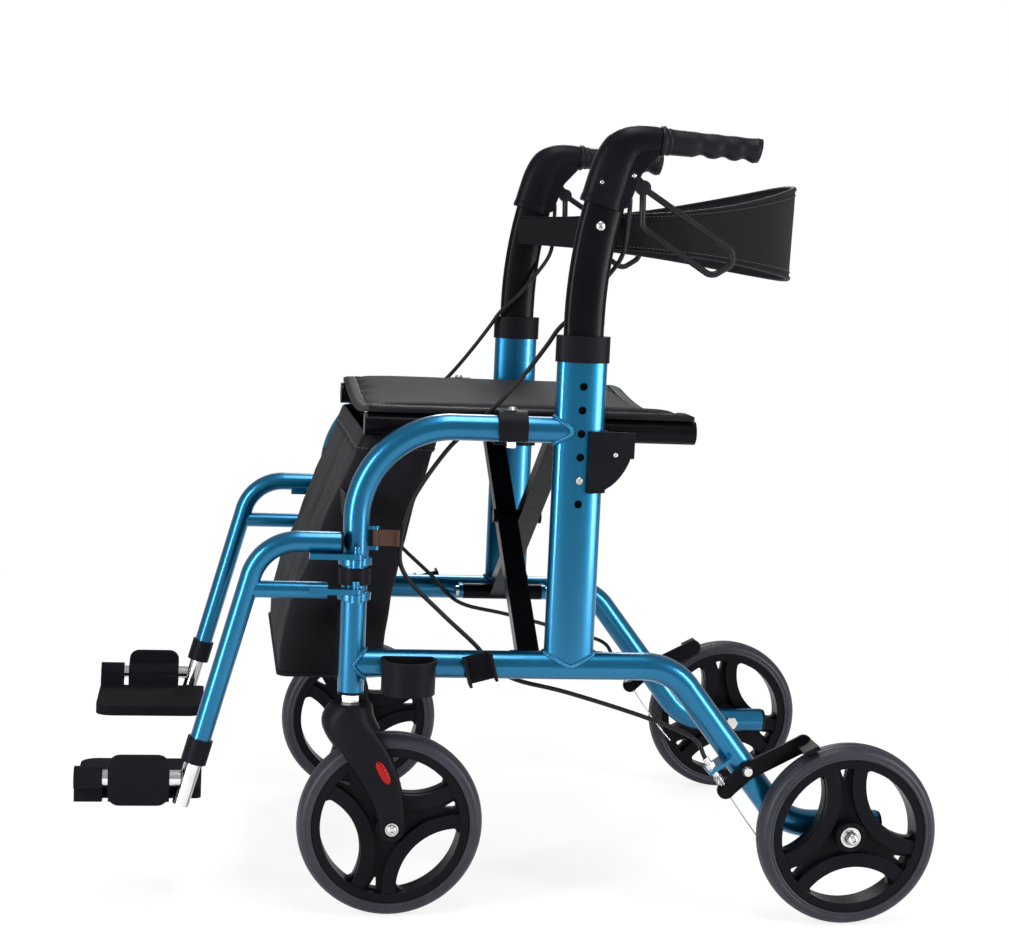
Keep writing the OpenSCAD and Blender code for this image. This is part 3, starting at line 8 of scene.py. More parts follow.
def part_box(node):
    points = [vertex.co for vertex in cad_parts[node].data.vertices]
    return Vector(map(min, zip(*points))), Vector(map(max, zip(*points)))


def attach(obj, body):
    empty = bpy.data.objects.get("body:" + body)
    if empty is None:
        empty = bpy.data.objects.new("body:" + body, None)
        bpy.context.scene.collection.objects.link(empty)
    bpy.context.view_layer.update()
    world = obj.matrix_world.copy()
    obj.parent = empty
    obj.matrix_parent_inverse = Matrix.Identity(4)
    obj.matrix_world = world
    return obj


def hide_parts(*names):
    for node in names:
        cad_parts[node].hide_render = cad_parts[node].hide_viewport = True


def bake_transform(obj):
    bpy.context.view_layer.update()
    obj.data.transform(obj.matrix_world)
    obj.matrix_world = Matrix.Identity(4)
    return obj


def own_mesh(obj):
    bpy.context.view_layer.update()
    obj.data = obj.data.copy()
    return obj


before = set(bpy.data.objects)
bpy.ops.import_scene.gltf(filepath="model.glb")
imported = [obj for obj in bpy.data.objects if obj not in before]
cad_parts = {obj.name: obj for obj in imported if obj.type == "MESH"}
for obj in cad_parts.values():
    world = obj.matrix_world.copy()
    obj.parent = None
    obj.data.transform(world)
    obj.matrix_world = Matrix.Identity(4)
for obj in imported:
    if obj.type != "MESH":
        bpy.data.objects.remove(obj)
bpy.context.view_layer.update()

scene = bpy.context.scene
SIDES = (("left", 1), ("right", -1))


# Floor, light and view
# A white floor under plain soft light: two tall strips at the chair's front and back, one lamp
# overhead and one on the far side. The chair is seen from its left side, a little from its front.
class Shade:
    """One socket of a node tree. Sums and products of these add Math nodes. A finish looks its
    textures up by place."""

    def __init__(self, tree, socket=None):
        self.tree, self.socket, self.place = tree, socket, None

    def node(self, kind, settings=None, sockets=None, out=0):
        made = self.tree.nodes.new(kind)
        for key, value in (settings or {}).items():
            if key == "stops":
                ramp = made.color_ramp.elements
                while len(ramp) < len(value):
                    ramp.new(0.5)
                for element, (place, grey) in zip(ramp, value):
                    element.position, element.color = place, (grey, grey, grey, 1)
            else:
                setattr(made, key, value)
        for key, value in (sockets or {}).items():
            if isinstance(value, Shade):
                self.tree.links.new(value.socket, made.inputs[key])
            else:
                made.inputs[key].default_value = value
        return Shade(self.tree, made.outputs[out])

    def math(self, operation, other=0.0, swapped=False):
        a, b = (other, self) if swapped else (self, other)
        return self.node("ShaderNodeMath", {"operation": operation}, {0: a, 1: b})

    def __add__(self, other):
        return self.math("ADD", other)

    def __radd__(self, other):
        return self.math("ADD", other, True)

    def __sub__(self, other):
        return self.math("SUBTRACT", other)

    def __rsub__(self, other):
        return self.math("SUBTRACT", other, True)

    def __mul__(self, other):
        return self.math("MULTIPLY", other)

    def __rmul__(self, other):
        return self.math("MULTIPLY", other, True)

    def mix(self, low, high):
        """A colour between low and high, by this value."""
        return self.node("ShaderNodeMix", {"data_type": "RGBA"}, {0: self, 6: low, 7: high}, out=2)

    def ramp(self, *stops):
        return self.node("ShaderNodeValToRGB", {"stops": stops}, {"Fac": self})


def seen_directly(shade):
    """1 for what the lens sees, also through glass, and 0 for light on its way."""
    rays = [shade.node("ShaderNodeLightPath", out=f"Is {ray} Ray") for ray in ("Camera", "Transmission")]
    return (rays[0] + rays[1]).math("MINIMUM", 1.0)


def placed(name, data):
    """A new object in the scene."""
    made = bpy.data.objects.new(name, data)
    scene.collection.objects.link(made)
    return made


AMBIENT = 0.5
world = bpy.data.worlds.new("white_room")
world.use_nodes = True
scene.world = world
sky = Shade(world.node_tree)
background = world.node_tree.nodes["Background"]
background.inputs["Color"].default_value = (1, 1, 1, 1)
brightness = seen_directly(sky) * (1 - AMBIENT) + AMBIENT
world.node_tree.links.new(brightness.socket, background.inputs["Strength"])

FLOOR_SIZE, FLOOR_GLOW = 16.0, 0.82
FADE_FROM, FADE_TO = 0.75, 2.0  # how far out the floor becomes plain white
floor_mesh = bpy.data.meshes.new("floor")
corners = [(x * FLOOR_SIZE / 2, y * FLOOR_SIZE / 2, 0) for x, y in ((-1, -1), (1, -1), (1, 1), (-1, 1))]
floor_mesh.from_pydata(corners, [], [(0, 1, 2, 3)])
floor = placed("floor", floor_mesh)
floor_paint = bpy.data.materials.new("floor_white")
floor_paint.use_nodes = True
floor_tree = floor_paint.node_tree
floor_tree.nodes.remove(floor_tree.nodes["Principled BSDF"])
pale = Shade(floor_tree)
spot = pale.node("ShaderNodeTexCoord", out="Object")
far = pale.node("ShaderNodeVectorMath", {"operation": "LENGTH"}, {0: spot}, out="Value")
fade = pale.node("ShaderNodeMapRange", None, {"Value": far, "From Min": FADE_FROM, "From Max": FADE_TO})
matt = pale.node("ShaderNodeBsdfDiffuse", None, {"Color": (0.93, 0.93, 0.93, 1)})
glow = pale.node("ShaderNodeEmission", None, {"Color": (1, 1, 1, 1), "Strength": 1.0})
share = seen_directly(pale) * (fade * (1 - FLOOR_GLOW) + FLOOR_GLOW)
white = pale.node("ShaderNodeMixShader", None, {0: share, 1: matt, 2: glow})
floor_tree.links.new(white.socket, floor_tree.nodes["Material Output"].inputs["Surface"])
floor_mesh.materials.append(floor_paint)

LAMPS = (  # place, aim, width, height, watts
    ((1.55, -1.95, 0.85), (0, 0, 0.45), 0.26, 1.9, 64),
    ((1.60, 2.10, 0.85), (0, 0.1, 0.45), 0.30, 1.9, 64),
    ((0.45, 0.1, 2.5), (0, 0.1, 0.4), 0.45, 1.8, 34),
    ((-1.9, 0.3, 1.8), (0, 0.1, 0.4), 0.8, 0.8, 22),
)
for place, aim, width, height, watts in LAMPS:
    lamp = bpy.data.lights.new("softbox", "AREA")
    lamp.shape, lamp.size, lamp.size_y, lamp.energy = "RECTANGLE", width, height, watts
    holder = placed("softbox", lamp)
    holder.location = place
    holder.rotation_euler = (Vector(aim) - Vector(place)).to_track_quat("-Z", "Y").to_euler()
    holder.visible_camera = False

CAMERA_AT, FOCAL = (2.3315, -0.3329, 0.7230), 71.62
YAW, PITCH, ROLL = math.radians(8.39), math.radians(6.31), math.radians(2.52)
ahead = Vector((-math.cos(YAW) * math.cos(PITCH), math.sin(YAW) * math.cos(PITCH), -math.sin(PITCH)))
across = ahead.cross(Vector((0, 0, 1))).normalized()
up = across.cross(ahead)
across, up = (math.cos(ROLL) * across + math.sin(ROLL) * up, math.cos(ROLL) * up - math.sin(ROLL) * across)
lens = bpy.data.cameras.new("lens")
lens.lens, lens.sensor_width = FOCAL, 36.0
camera = placed("camera", lens)
camera.matrix_world = Matrix.Translation(CAMERA_AT) @ Matrix((across, up, -ahead)).transposed().to_4x4()
scene.camera = camera
scene.view_settings.view_transform = "Standard"


# Side frames
# Two welded frames of aluminium tube in a metallic blue lacquer under a clear coat: an oval
# upright, a bent top rail that is also the front post, and a base rail that becomes the rear leg.
def finish(name, paint):
    """A material whose shader takes what paint(shade) gives for its sockets."""
    made = bpy.data.materials.new(name)
    made.use_nodes = True
    tree = made.node_tree
    shade = Shade(tree)
    shade.place = shade.node("ShaderNodeTexCoord", out="Object")
    shader = tree.nodes["Principled BSDF"]
    for key, value in paint(shade).items():
        if isinstance(value, Shade):
            tree.links.new(value.socket, shader.inputs[key])
        else:
            shader.inputs[key].default_value = value
    return made


def speckle(shade, per_metre, detail=2.0, place=None):
    sockets = {"Vector": place or shade.place, "Scale": per_metre, "Detail": detail}
    return shade.node("ShaderNodeTexNoise", None, sockets)


def cells_of(shade, per_metre, spread=1.0):
    sockets = {"Vector": shade.place, "Scale": per_metre, "Randomness": spread}
    return shade.node("ShaderNodeTexVoronoi", None, sockets, out="Distance")


def edge_of(shade, radius):
    """The normal rounded over edges, and how much of an edge a point is."""
    round_normal = shade.node("ShaderNodeBevel", {"samples": 4}, {"Radius": radius})
    flat_normal = shade.node("ShaderNodeNewGeometry", out="Normal")
    along = shade.node("ShaderNodeVectorMath", {"operation": "DOT_PRODUCT"},
                       {0: round_normal, 1: flat_normal}, out="Value")
    return round_normal, ((1.0 - along) * 4.0).math("MINIMUM", 1.0)


def bumped(shade, height, depth, strength=1.0, normal=None):
    sockets = {"Height": height, "Distance": depth, "Strength": strength}
    if normal is not None:
        sockets["Normal"] = normal
    return shade.node("ShaderNodeBump", None, sockets)


def lacquer(shade):
    flakes = cells_of(shade, 2600.0)
    cloud = speckle(shade, 9.0)
    peel = speckle(shade, 420.0)
    scuff = speckle(shade, 55.0, 6.0).ramp((0.62, 0), (0.7, 1))
    tone = flakes * 0.55 + cloud * 0.45
    colour = tone.mix((0.0, 0.066, 0.160, 1), (0.001, 0.145, 0.275, 1))
    return {"Base Color": colour, "Metallic": 0.85, "Roughness": flakes * 0.06 + scuff * 0.05 + 0.27,
            "Coat Weight": 0.4, "Coat Roughness": 0.15, "Normal": bumped(shade, peel, 0.00012, 0.35)}


blue_lacquer = finish("blue_lacquer", lacquer)


def dress(names, made):
    """CAD nodes keep their shapes and take this finish."""
    for name in names:
        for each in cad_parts[name].material_slots:
            each.material = made


def both(*names):
    return [f"{side}_{name}" for name in names for side, _ in SIDES]


dress(both("upright", "top_rail", "base_rail"), blue_lacquer)


# Weld seams
# Every joint of the frame is a hand-laid weld under the lacquer: a row of small overlapping
# beads round the foot of a tube.
def tree_of(name, inputs):
    """An empty node tree, its inputs by name and the socket of its result."""
    tree = bpy.data.node_groups.new(name, "GeometryNodeTree")
    for key, kind in inputs.items():
        tree.interface.new_socket(key, in_out="INPUT", socket_type=f"NodeSocket{kind}")
    tree.interface.new_socket("Geometry", in_out="OUTPUT", socket_type="NodeSocketGeometry")
    sockets = tree.nodes.new("NodeGroupInput").outputs
    given = {key: Shade(tree, sockets[key]) for key in inputs}
    return Shade(tree), given, tree.nodes.new("NodeGroupOutput").inputs[0]


grow, given, result = tree_of("bead_run", {"Geometry": "Geometry", "Pitch": "Float", "Length": "Float",
                                           "Width": "Float", "Finish": "Material"})
line = grow.node("GeometryNodeMeshToCurve", None, {"Mesh": given["Geometry"]})
spaced = grow.node("GeometryNodeResampleCurve", {"mode": "LENGTH"}, {"Curve": line, "Length": given["Pitch"]})
bead = grow.node("GeometryNodeMeshUVSphere", None, {"Segments": 8, "Rings": 5, "Radius": 0.5})
heading = grow.node("GeometryNodeInputTangent")
turned_to = grow.node("FunctionNodeAlignRotationToVector", {"axis": "X"}, {"Vector": heading})
spread = grow.node("ShaderNodeCombineXYZ", None,
                   {"X": given["Length"], "Y": given["Width"], "Z": given["Width"]})
laid = grow.node("GeometryNodeInstanceOnPoints", None,
                 {"Points": spaced, "Instance": bead, "Rotation": turned_to, "Scale": spread})
real = grow.node("GeometryNodeRealizeInstances", None, {"Geometry": laid})
smooth = grow.node("GeometryNodeSetShadeSmooth", None, {"Geometry": real})
coated = grow.node("GeometryNodeSetMaterial", None, {"Geometry": smooth, "Material": given["Finish"]})
grow.tree.links.new(coated.socket, result)
bead_run = grow.tree


def applied(thing):
    """What a piece's modifiers make becomes its own mesh."""
    made = bpy.data.meshes.new_from_object(thing.evaluated_get(bpy.context.evaluated_depsgraph_get()))
    thing.modifiers.clear()
    thing.data = made
    return made


def grown(name, mesh, tree, values):
    """The plain mesh that a node tree makes of lines or points."""
    made = placed(name, mesh)
    grower = made.modifiers.new("grow", "NODES")
    grower.node_group = tree
    for item in tree.interface.items_tree:
        if item.in_out == "INPUT" and item.name in values:
            grower[item.identifier] = values[item.name]
    applied(made).name = name
    return made


def beads(name, lines, pitch, length, width, made, slot):
    """Beads in a row along each line. A line that ends where it starts is closed."""
    points, edges = [], []
    for path in lines:
        start = len(points)
        closed = (Vector(path[0]) - Vector(path[-1])).length < 1e-6
        path = path[:-1] if closed else path
        points += path
        edges += [(start + k, start + k + 1) for k in range(len(path) - 1)]
        if closed:
            edges.append((start + len(path) - 1, start))
    mesh = bpy.data.meshes.new("lines")
    mesh.from_pydata([tuple(p) for p in points], edges, [])
    row = grown(name, mesh, bead_run, {"Pitch": pitch, "Length": length, "Width": width, "Finish": made})
    return row


def middle_of(node):
    """The middle of a node's box."""
    low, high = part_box(node)
    return [(a + b) / 2 for a, b in zip(low, high)]


FRAME_X, UPRIGHT_Y, _ = middle_of("left_upright")
BASE_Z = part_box("left_upright")[0][2]  # the upright stands on the base rail's axis
POST_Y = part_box("left_base_rail")[0][1]  # the base rail starts at the post's axis
POST_R, RAIL_R, TOP_Z = 0.014, 0.015, 0.528
UPRIGHT = (0.027, 0.015, 0.011)  # half length, half thickness, end radius
UPRIGHT_SEAM, POST_SEAM = UPRIGHT[1] * 0.995, 0.0139  # half widths of two seams
LUG_EDGES, WELD_PITCH = (0.351, 0.343, 0.388, 0.380), 0.0026


def oval_front(dx, half_l, half_w, end_r):
    """How far an oval section reaches along its length at a distance dx from its middle."""
    c = half_l - end_r
    d = (c * c - (half_w - end_r) ** 2) / (2 * (half_w - end_r))
    big_r = half_w + d
    dx = abs(dx)
    if dx > big_r * d / math.hypot(c, d) - d:
        return math.sqrt(max(0.0, big_r * big_r - (dx + d) ** 2))
    return c + math.sqrt(end_r * end_r - dx * dx)


def on_side(points, sign):
    """The left side's points, or with sign -1 the right side's."""
    return [Vector((sign * x, y, z)) for x, y, z in points]


def turns(count):
    """Angles evenly round a circle."""
    return [2 * math.pi * k / count for k in range(count)]


def ring(count, point):
    """A closed line through what point gives for angles round a circle."""
    return [point(a) for a in turns(count)] + [point(0.0)]


def rail_to_upright(a):
    dx = POST_R * math.sin(a)
    return FRAME_X + dx, UPRIGHT_Y - oval_front(dx, *UPRIGHT), TOP_Z + POST_R * math.cos(a)


def upright_to_base(a):
    dx = UPRIGHT_SEAM * math.sin(a)
    dy = oval_front(dx, *UPRIGHT) * (1 if math.cos(a) > 0 else -1)
    return FRAME_X + dx, UPRIGHT_Y + dy, BASE_Z + math.sqrt(max(0.0, RAIL_R ** 2 - dx * dx))


def base_to_post(a):
    dx = POST_SEAM * math.sin(a)
    return FRAME_X + dx, POST_Y + math.sqrt(POST_R ** 2 - dx * dx), BASE_Z + RAIL_R * math.cos(a)


def lug_seam(z):
    return ring(40, lambda a: (FRAME_X + POST_R * math.cos(a), POST_Y + POST_R * math.sin(a), z))


WELDS = (  # piece, lines, width of its beads
    ("weld_seams", [ring(60, rail_to_upright), ring(80, upright_to_base), ring(60, base_to_post)], 0.0060),
    ("lug_seams", [lug_seam(z) for z in LUG_EDGES], 0.0034),
)
for side, sign in SIDES:
    for name, lines, width in WELDS:
        paths = [on_side(path, sign) for path in lines]
        seams = beads(f"{side}_{name}", paths, WELD_PITCH, width, width, blue_lacquer, "blue_paint")
        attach(seams, f"{side}_frame")


# Moulded fittings of the frame
# Black nylon mouldings with a fine spark-eroded grain: the upright's collar, end plugs, seat
# brackets, the clip for the stored footrest, the stick cup and the footrest's collars.
def moulded(dark, grain, rough, edge_r=0.0009):
    def paint(shade):
        normal, edge = edge_of(shade, edge_r)
        fine = speckle(shade, grain, 3.0)
        cloud = speckle(shade, 14.0, 3.0)
        # Edges are lighter in patches: partly edge wear, partly a painted edge highlight.
        worn_and_edge_highlight = edge * speckle(shade, 120.0, 4.0)
        tone = cloud * 0.5 + worn_and_edge_highlight * 0.9
        light = tuple(min(1.0, c * 2.6 + 0.006) for c in dark[:3]) + (1,)
        return {"Base Color": tone.mix(dark, light),
                "Roughness": fine * 0.14 + cloud * 0.08 + (rough - 0.1) - worn_and_edge_highlight * 0.1,
                "Specular IOR Level": 0.06, "Normal": bumped(shade, fine, 0.00022, 0.5, normal)}
    return paint


nylon = finish("moulded_nylon", moulded((0.0018, 0.0018, 0.0032, 1), 1500.0, 0.42))
dress(both("upright_collar", "frame_plugs", "seat_brackets", "hanger_clip", "hanger_collar"), nylon)
dress(["cane_cup"], nylon)


# Steel hardware and fasteners
# Zinc-plated axles, stems, pins and bolts. Socket screws hold the elbow, the strap, the seat
# brackets and the axles.
def zinc(shade):
    normal, edge = edge_of(shade, 0.0005)
    stretched = shade.node("ShaderNodeMapping", None, {"Vector": shade.place, "Scale": (60.0, 900.0, 900.0)})
    turning = speckle(shade, 1.0, 3.0, stretched)
    haze = speckle(shade, 90.0, 5.0)
    # The colour is lighter at every edge: a painted edge highlight. The haze is random tone.
    colour = (haze * 0.7 + edge * 0.3).mix((0.42, 0.42, 0.41, 1), (0.72, 0.72, 0.70, 1))
    return {"Base Color": colour, "Metallic": 1.0, "Roughness": haze * 0.2 + turning * 0.12 + 0.12,
            "Normal": bumped(shade, turning, 0.00004, 0.5, normal)}


zinc_plate = finish("zinc_plate", zinc)
dress(both("frame_hardware", "caster_axle", "height_button"), zinc_plate)


def skin(rings, loop=False, caps=True):
    """A mesh through rings of points, its faces turned outwards."""
    count, rows = len(rings[0]), len(rings)
    faces = []
    for i in range(rows if loop else rows - 1):
        a, b = i * count, (i + 1) % rows * count
        faces += [(a + k, a + (k + 1) % count, b + (k + 1) % count, b + k) for k in range(count)]
    if caps and not loop:
        faces += [tuple(reversed(range(count))), tuple(range((rows - 1) * count, rows * count))]
    mesh = bpy.data.meshes.new("skin")
    mesh.from_pydata([tuple(p) for each in rings for p in each], [], faces)
    work = bmesh.new()
    work.from_mesh(mesh)
    bmesh.ops.recalc_face_normals(work, faces=work.faces)
    work.to_mesh(mesh)
    work.free()
    return mesh


def shaded(mesh, sharp):
    mesh.shade_smooth()
    mesh.set_sharp_from_angle(angle=math.radians(sharp))


def piece(name, mesh, made, body=None, sharp=40):
    """A new piece with its finish and the body that it rides on."""
    mesh.name = name
    mesh.materials.clear()
    mesh.materials.append(made)
    shaded(mesh, sharp)
    thing = placed(name, mesh)
    if body:
        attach(thing, body)
    return thing


SOCKET_HEAD = (  # radius, height, and 1 for the rings of the six-sided socket
    (1.0, 0.0, 0), (1.0, 0.22, 0), (0.93, 0.42, 0), (0.72, 0.62, 0), (0.52, 0.68, 0), (0.5, 0.68, 1),
    (0.47, 0.24, 1), (0.02, 0.2, 1))


def hexagon(a, r):
    return r * math.cos(math.pi / 6) / math.cos((a % (math.pi / 3)) - math.pi / 6)


def socket_head():
    """A screw's head of radius 1 with a six-sided socket."""
    rings = []
    for r, z, socket in SOCKET_HEAD:
        reach = [(a, hexagon(a, r) if socket else r) for a in turns(24)]
        rings.append([(math.cos(a) * d, math.sin(a) * d, z) for a, d in reach])
    mesh = skin(rings)
    shaded(mesh, 35)
    return mesh


grow, given, result = tree_of("set_on_points", {"Geometry": "Geometry", "Shape": "Object",
                                                "Finish": "Material"})
shape = grow.node("GeometryNodeObjectInfo", None, {"Object": given["Shape"]}, out="Geometry")
aimed, sized = (grow.node("GeometryNodeInputNamedAttribute", {"data_type": kind}, {"Name": name})
                for name, kind in (("aim", "FLOAT_VECTOR"), ("size", "FLOAT")))
facing = grow.node("FunctionNodeAlignRotationToVector", {"axis": "Z"}, {"Vector": aimed})
dots = grow.node("GeometryNodeMeshToPoints", None, {"Mesh": given["Geometry"]})
seated = grow.node("GeometryNodeInstanceOnPoints", None,
                   {"Points": dots, "Instance": shape, "Rotation": facing, "Scale": sized})
real = grow.node("GeometryNodeRealizeInstances", None, {"Geometry": seated})
coated = grow.node("GeometryNodeSetMaterial", None, {"Geometry": real, "Material": given["Finish"]})
grow.tree.links.new(coated.socket, result)
set_on_points = grow.tree

head = placed("head_shape", socket_head())
REAR_X, REAR_Y, AXLE_Z = middle_of("left_rear_tyre")
CASTER_Y = middle_of("left_caster_tyre")[1]
SCREWS = (  # piece, body, finish, slot, then x, y, z and radius of each head
    ("frame_screws", "frame", zinc_plate, "steel", (
        (0.3006, REAR_Y, AXLE_Z, 0.0062), (0.25905, 0.091, 0.505, 0.0027),
        (0.25975, 0.25472, 0.163, 0.0048))),
    ("elbow_screws", "handle", zinc_plate, "steel", (
        (0.2546, 0.06274, 0.79023, 0.0024), (0.2514, 0.0974, 0.7987, 0.0027),
        (0.2534, 0.06392, 0.74486, 0.0052))),
    # The black rings round the two upper elbow screws are painted shade: dark rings where the screws'
    # recesses lie in shade.
    ("screw_rings", "handle", nylon, "black_plastic", (
        (0.2528, 0.06274, 0.79023, 0.0050), (0.2496, 0.0974, 0.7987, 0.0054))),
    ("caster_screws", "caster", zinc_plate, "steel", (
        (0.2680, CASTER_Y, AXLE_Z, 0.0056), (0.2120, CASTER_Y, AXLE_Z, 0.0056))),
)
for side, sign in SIDES:
    for name, body, made, slot, heads in SCREWS:
        mesh = bpy.data.meshes.new("heads")
        mesh.from_pydata([(sign * x, y, z) for x, y, z, _ in heads], [], [])
        aims = mesh.attributes.new("aim", "FLOAT_VECTOR", "POINT")
        outward = [sign if x > FRAME_X else -sign for x, *_ in heads]
        aims.data.foreach_set("vector", [c for way in outward for c in (way, 0, 0)])
        sizes = mesh.attributes.new("size", "FLOAT", "POINT")
        sizes.data.foreach_set("value", [r for *_, r in heads])
        screws = grown(f"{side}_{name}", mesh, set_on_points, {"Shape": head, "Finish": made})
        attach(screws, f"{side}_{body}")
bpy.data.objects.remove(head)


# Wheels
# Four equal wheels: a black moulded rim with three arched arms and a soft dark grey tyre with
# round shoulders and a fine seam line on each side.
rim_nylon = finish("rim_nylon", moulded((0.0012, 0.0012, 0.0024, 1), 1300.0, 0.34, 0.0013))
dress(both("rear_rim", "caster_rim"), rim_nylon)


def tyre(shade):
    fine = speckle(shade, 900.0, 4.0)
    dust = speckle(shade, 38.0, 6.0)
    scuffs = speckle(shade, 210.0, 3.0).ramp((0.5, 0), (0.75, 1))
    tone = dust * 0.7 + scuffs * 0.3
    return {"Base Color": tone.mix((0.0095, 0.0098, 0.0145, 1), (0.027, 0.0275, 0.038, 1)),
            "Roughness": dust * 0.2 + fine * 0.1 + 0.28,
            "Specular IOR Level": 0.22, "Normal": bumped(shade, fine * 0.6 + scuffs * 0.4, 0.0002, 0.4)}


tyre_rubber = finish("tyre_rubber", tyre)
TYRE_PROFILE = (  # radius, half width from the inner edge out over one shoulder to the crown
    (0.0850, 0.0140), (0.0852, 0.0153), (0.0862, 0.0158), (0.0880, 0.0158), (0.0884, 0.0154),
    (0.0889, 0.0154), (0.0893, 0.0158), (0.0915, 0.0157), (0.0935, 0.0152), (0.0950, 0.0142),
    (0.0961, 0.0130), (0.0967, 0.0122), (0.0966, 0.0116), (0.0972, 0.0110), (0.0981, 0.0094),
    (0.0989, 0.0074), (0.0994, 0.0052), (0.0990, 0.0046), (0.0990, 0.0036), (0.0996, 0.0030),
    (0.0998, 0.0012))
TYRE_ROUND = TYRE_PROFILE + tuple((r, -x) for r, x in reversed(TYRE_PROFILE))
TYRE_STEPS = 144


def tyre_mesh(middle_x, middle_y):
    return skin([[(middle_x + x, middle_y + r * math.cos(a), AXLE_Z + r * math.sin(a)) for r, x in TYRE_ROUND]
                 for a in turns(TYRE_STEPS)], loop=True)


for side, sign in SIDES:
    for name, x, y in (("rear", REAR_X, REAR_Y), ("caster", FRAME_X, CASTER_Y)):
        band = piece(f"{side}_{name}_tread", tyre_mesh(sign * x, y), tyre_rubber,
                     f"{side}_{name}_wheel", 50)
        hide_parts(f"{side}_{name}_tyre")


# Caster forks
# Moulded nylon forks that turn on the post's stem, each with a red oval reflector let into both
# cheeks. The lens is clear red acrylic over small cube corners.
fork_nylon = finish("fork_nylon", moulded((0.0018, 0.0018, 0.0032, 1), 1500.0, 0.4, 0.0012))


def smooth_path(points, steps):
    """A smooth line through points."""
    pts = [Vector(p) for p in points]
    path = []
    for i in range(len(pts) - 1):
        a, b, c, d = pts[max(i - 1, 0)], pts[i], pts[i + 1], pts[min(i + 2, len(pts) - 1)]
        for k in range(steps):
            t = k / steps
            square_part, cube_part = 2 * a - 5 * b + 4 * c - d, 3 * b - a - 3 * c + d
            path.append(0.5 * (2 * b + (c - a) * t + square_part * t * t + cube_part * t ** 3))
    return path + [pts[-1]]


def oval(count, square):
    """Points round a section of radius 1: a circle at square 2, a box with round corners above."""
    return [[math.copysign(abs(part) ** (2 / square), part) for part in (math.cos(a), math.sin(a))]
            for a in turns(count)]


def even_out(thing, voxel):
    even = thing.modifiers.new("even", "REMESH")
    even.mode, even.voxel_size = "VOXEL", voxel


def smooth_out(thing, rounds):
    soft = thing.modifiers.new("smooth", "SMOOTH")
    soft.factor, soft.iterations = 0.5, rounds


def rounded_over(thing, voxel, rounds):
    """Evens out a piece's mesh and rounds its edges over."""
    even_out(thing, voxel)
    smooth_out(thing, rounds)
    applied(thing).shade_smooth()


SLOT_R, SLOT_HALF = 0.105, 0.019
FORK_SECTIONS = (  # front y and z, rear y and z, half width, squareness
    (-0.1985, 0.2320, -0.1570, 0.2320, 0.0212, 2.0), (-0.2010, 0.2295, -0.1555, 0.2300, 0.0225, 2.0),
    (-0.2055, 0.2235, -0.1545, 0.2250, 0.0238, 2.1), (-0.2085, 0.2160, -0.1530, 0.2180, 0.0247, 2.3),
    (-0.2080, 0.2060, -0.1500, 0.2110, 0.0250, 2.6), (-0.2020, 0.1940, -0.1450, 0.2020, 0.0250, 3.2),
    (-0.1900, 0.1790, -0.1370, 0.1880, 0.0250, 4.0), (-0.1760, 0.1610, -0.1290, 0.1700, 0.0250, 5.0),
    (-0.1625, 0.1420, -0.1225, 0.1500, 0.0250, 6.0), (-0.1530, 0.1240, -0.1185, 0.1290, 0.0250, 6.0),
    (-0.1480, 0.1090, -0.1172, 0.1110, 0.0250, 6.0), (-0.1465, 0.0980, -0.1175, 0.0980, 0.0250, 6.0),
    (-0.1430, 0.0890, -0.1210, 0.0890, 0.0250, 6.0), (-0.1375, 0.0853, -0.1265, 0.0853, 0.0249, 6.0))


def fork_mesh(sign):
    """The neck and both cheeks as one body, before the wheel's slot is cut."""
    rings = []
    for front_y, front_z, rear_y, rear_z, wide, square in smooth_path(FORK_SECTIONS, 5):
        rings.append([(sign * (FRAME_X + wide * w), front_y + (rear_y - front_y) * (c + 1) / 2,
                       front_z + (rear_z - front_z) * (c + 1) / 2) for c, w in oval(48, square)])
    return skin(rings)


for side, sign in SIDES:
    fork = piece(f"{side}_fork_moulding", fork_mesh(sign), fork_nylon, None, 180)
    rounds = [[(sign * FRAME_X + x, CASTER_Y + SLOT_R * c, AXLE_Z + SLOT_R * w) for c, w in oval(96, 2)]
              for x in (-SLOT_HALF, SLOT_HALF)]
    drum = placed("slot_drum", skin(rounds))
    slot_cut = fork.modifiers.new("slot_cut", "BOOLEAN")
    slot_cut.operation, slot_cut.object = "DIFFERENCE", drum
    rounded_over(fork, 0.0013, 8)
    bpy.data.objects.remove(drum)
    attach(fork, f"{side}_caster")
    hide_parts(f"{side}_caster_fork")


def red_lens(shade):
    cells = cells_of(shade, 620.0, 0.15)
    cloud = speckle(shade, 60.0)
    tone = cells * 1.1 + cloud * 0.25
    return {"Base Color": tone.mix((0.42, 0.004, 0.003, 1), (0.07, 0.0006, 0.0006, 1)),
            "Roughness": cloud * 0.08 + 0.16, "Specular IOR Level": 0.12,
            "Coat Weight": 0.12, "Coat Roughness": 0.05, "Normal": bumped(shade, cells, 0.0004, 0.5)}


reflector_red = finish("reflector_red", red_lens)
LENS_L, LENS_W, LENS_OUT = 0.0138, 0.0054, 0.0248
LENS_AT, LENS_TURN, LENS_FULL = (-0.1430, 0.161), math.radians(-61), 0.12
LENS_DOME = (  # share of the oval, height
    (1.0, -0.0012), (1.0, 0.0002), (0.95, 0.0009), (0.8, 0.0014), (0.5, 0.0018), (0.15, 0.0019))


def reflector_lens(x, outward):
    """A shallow dome on an oval foot, in the plane of a fork's cheek."""
    rings = []
    for share, lift in LENS_DOME:
        row = []
        for a in turns(32):
            full = 1 + LENS_FULL * math.cos(2 * a)
            u, v = LENS_L * share * math.cos(a), LENS_W * share * math.sin(a) * full
            y = LENS_AT[0] + u * math.cos(LENS_TURN) - v * math.sin(LENS_TURN)
            z = LENS_AT[1] + u * math.sin(LENS_TURN) + v * math.cos(LENS_TURN)
            row.append((x + outward * lift, y, z))
        rings.append(row)
    return skin(rings)


for side, sign in SIDES:
    for where, outward in (("outer", 1), ("inner", -1)):
        lens_mesh = reflector_lens(sign * (FRAME_X + outward * LENS_OUT), sign * outward)
        piece(f"{side}_{where}_reflector", lens_mesh, reflector_red, f"{side}_caster")


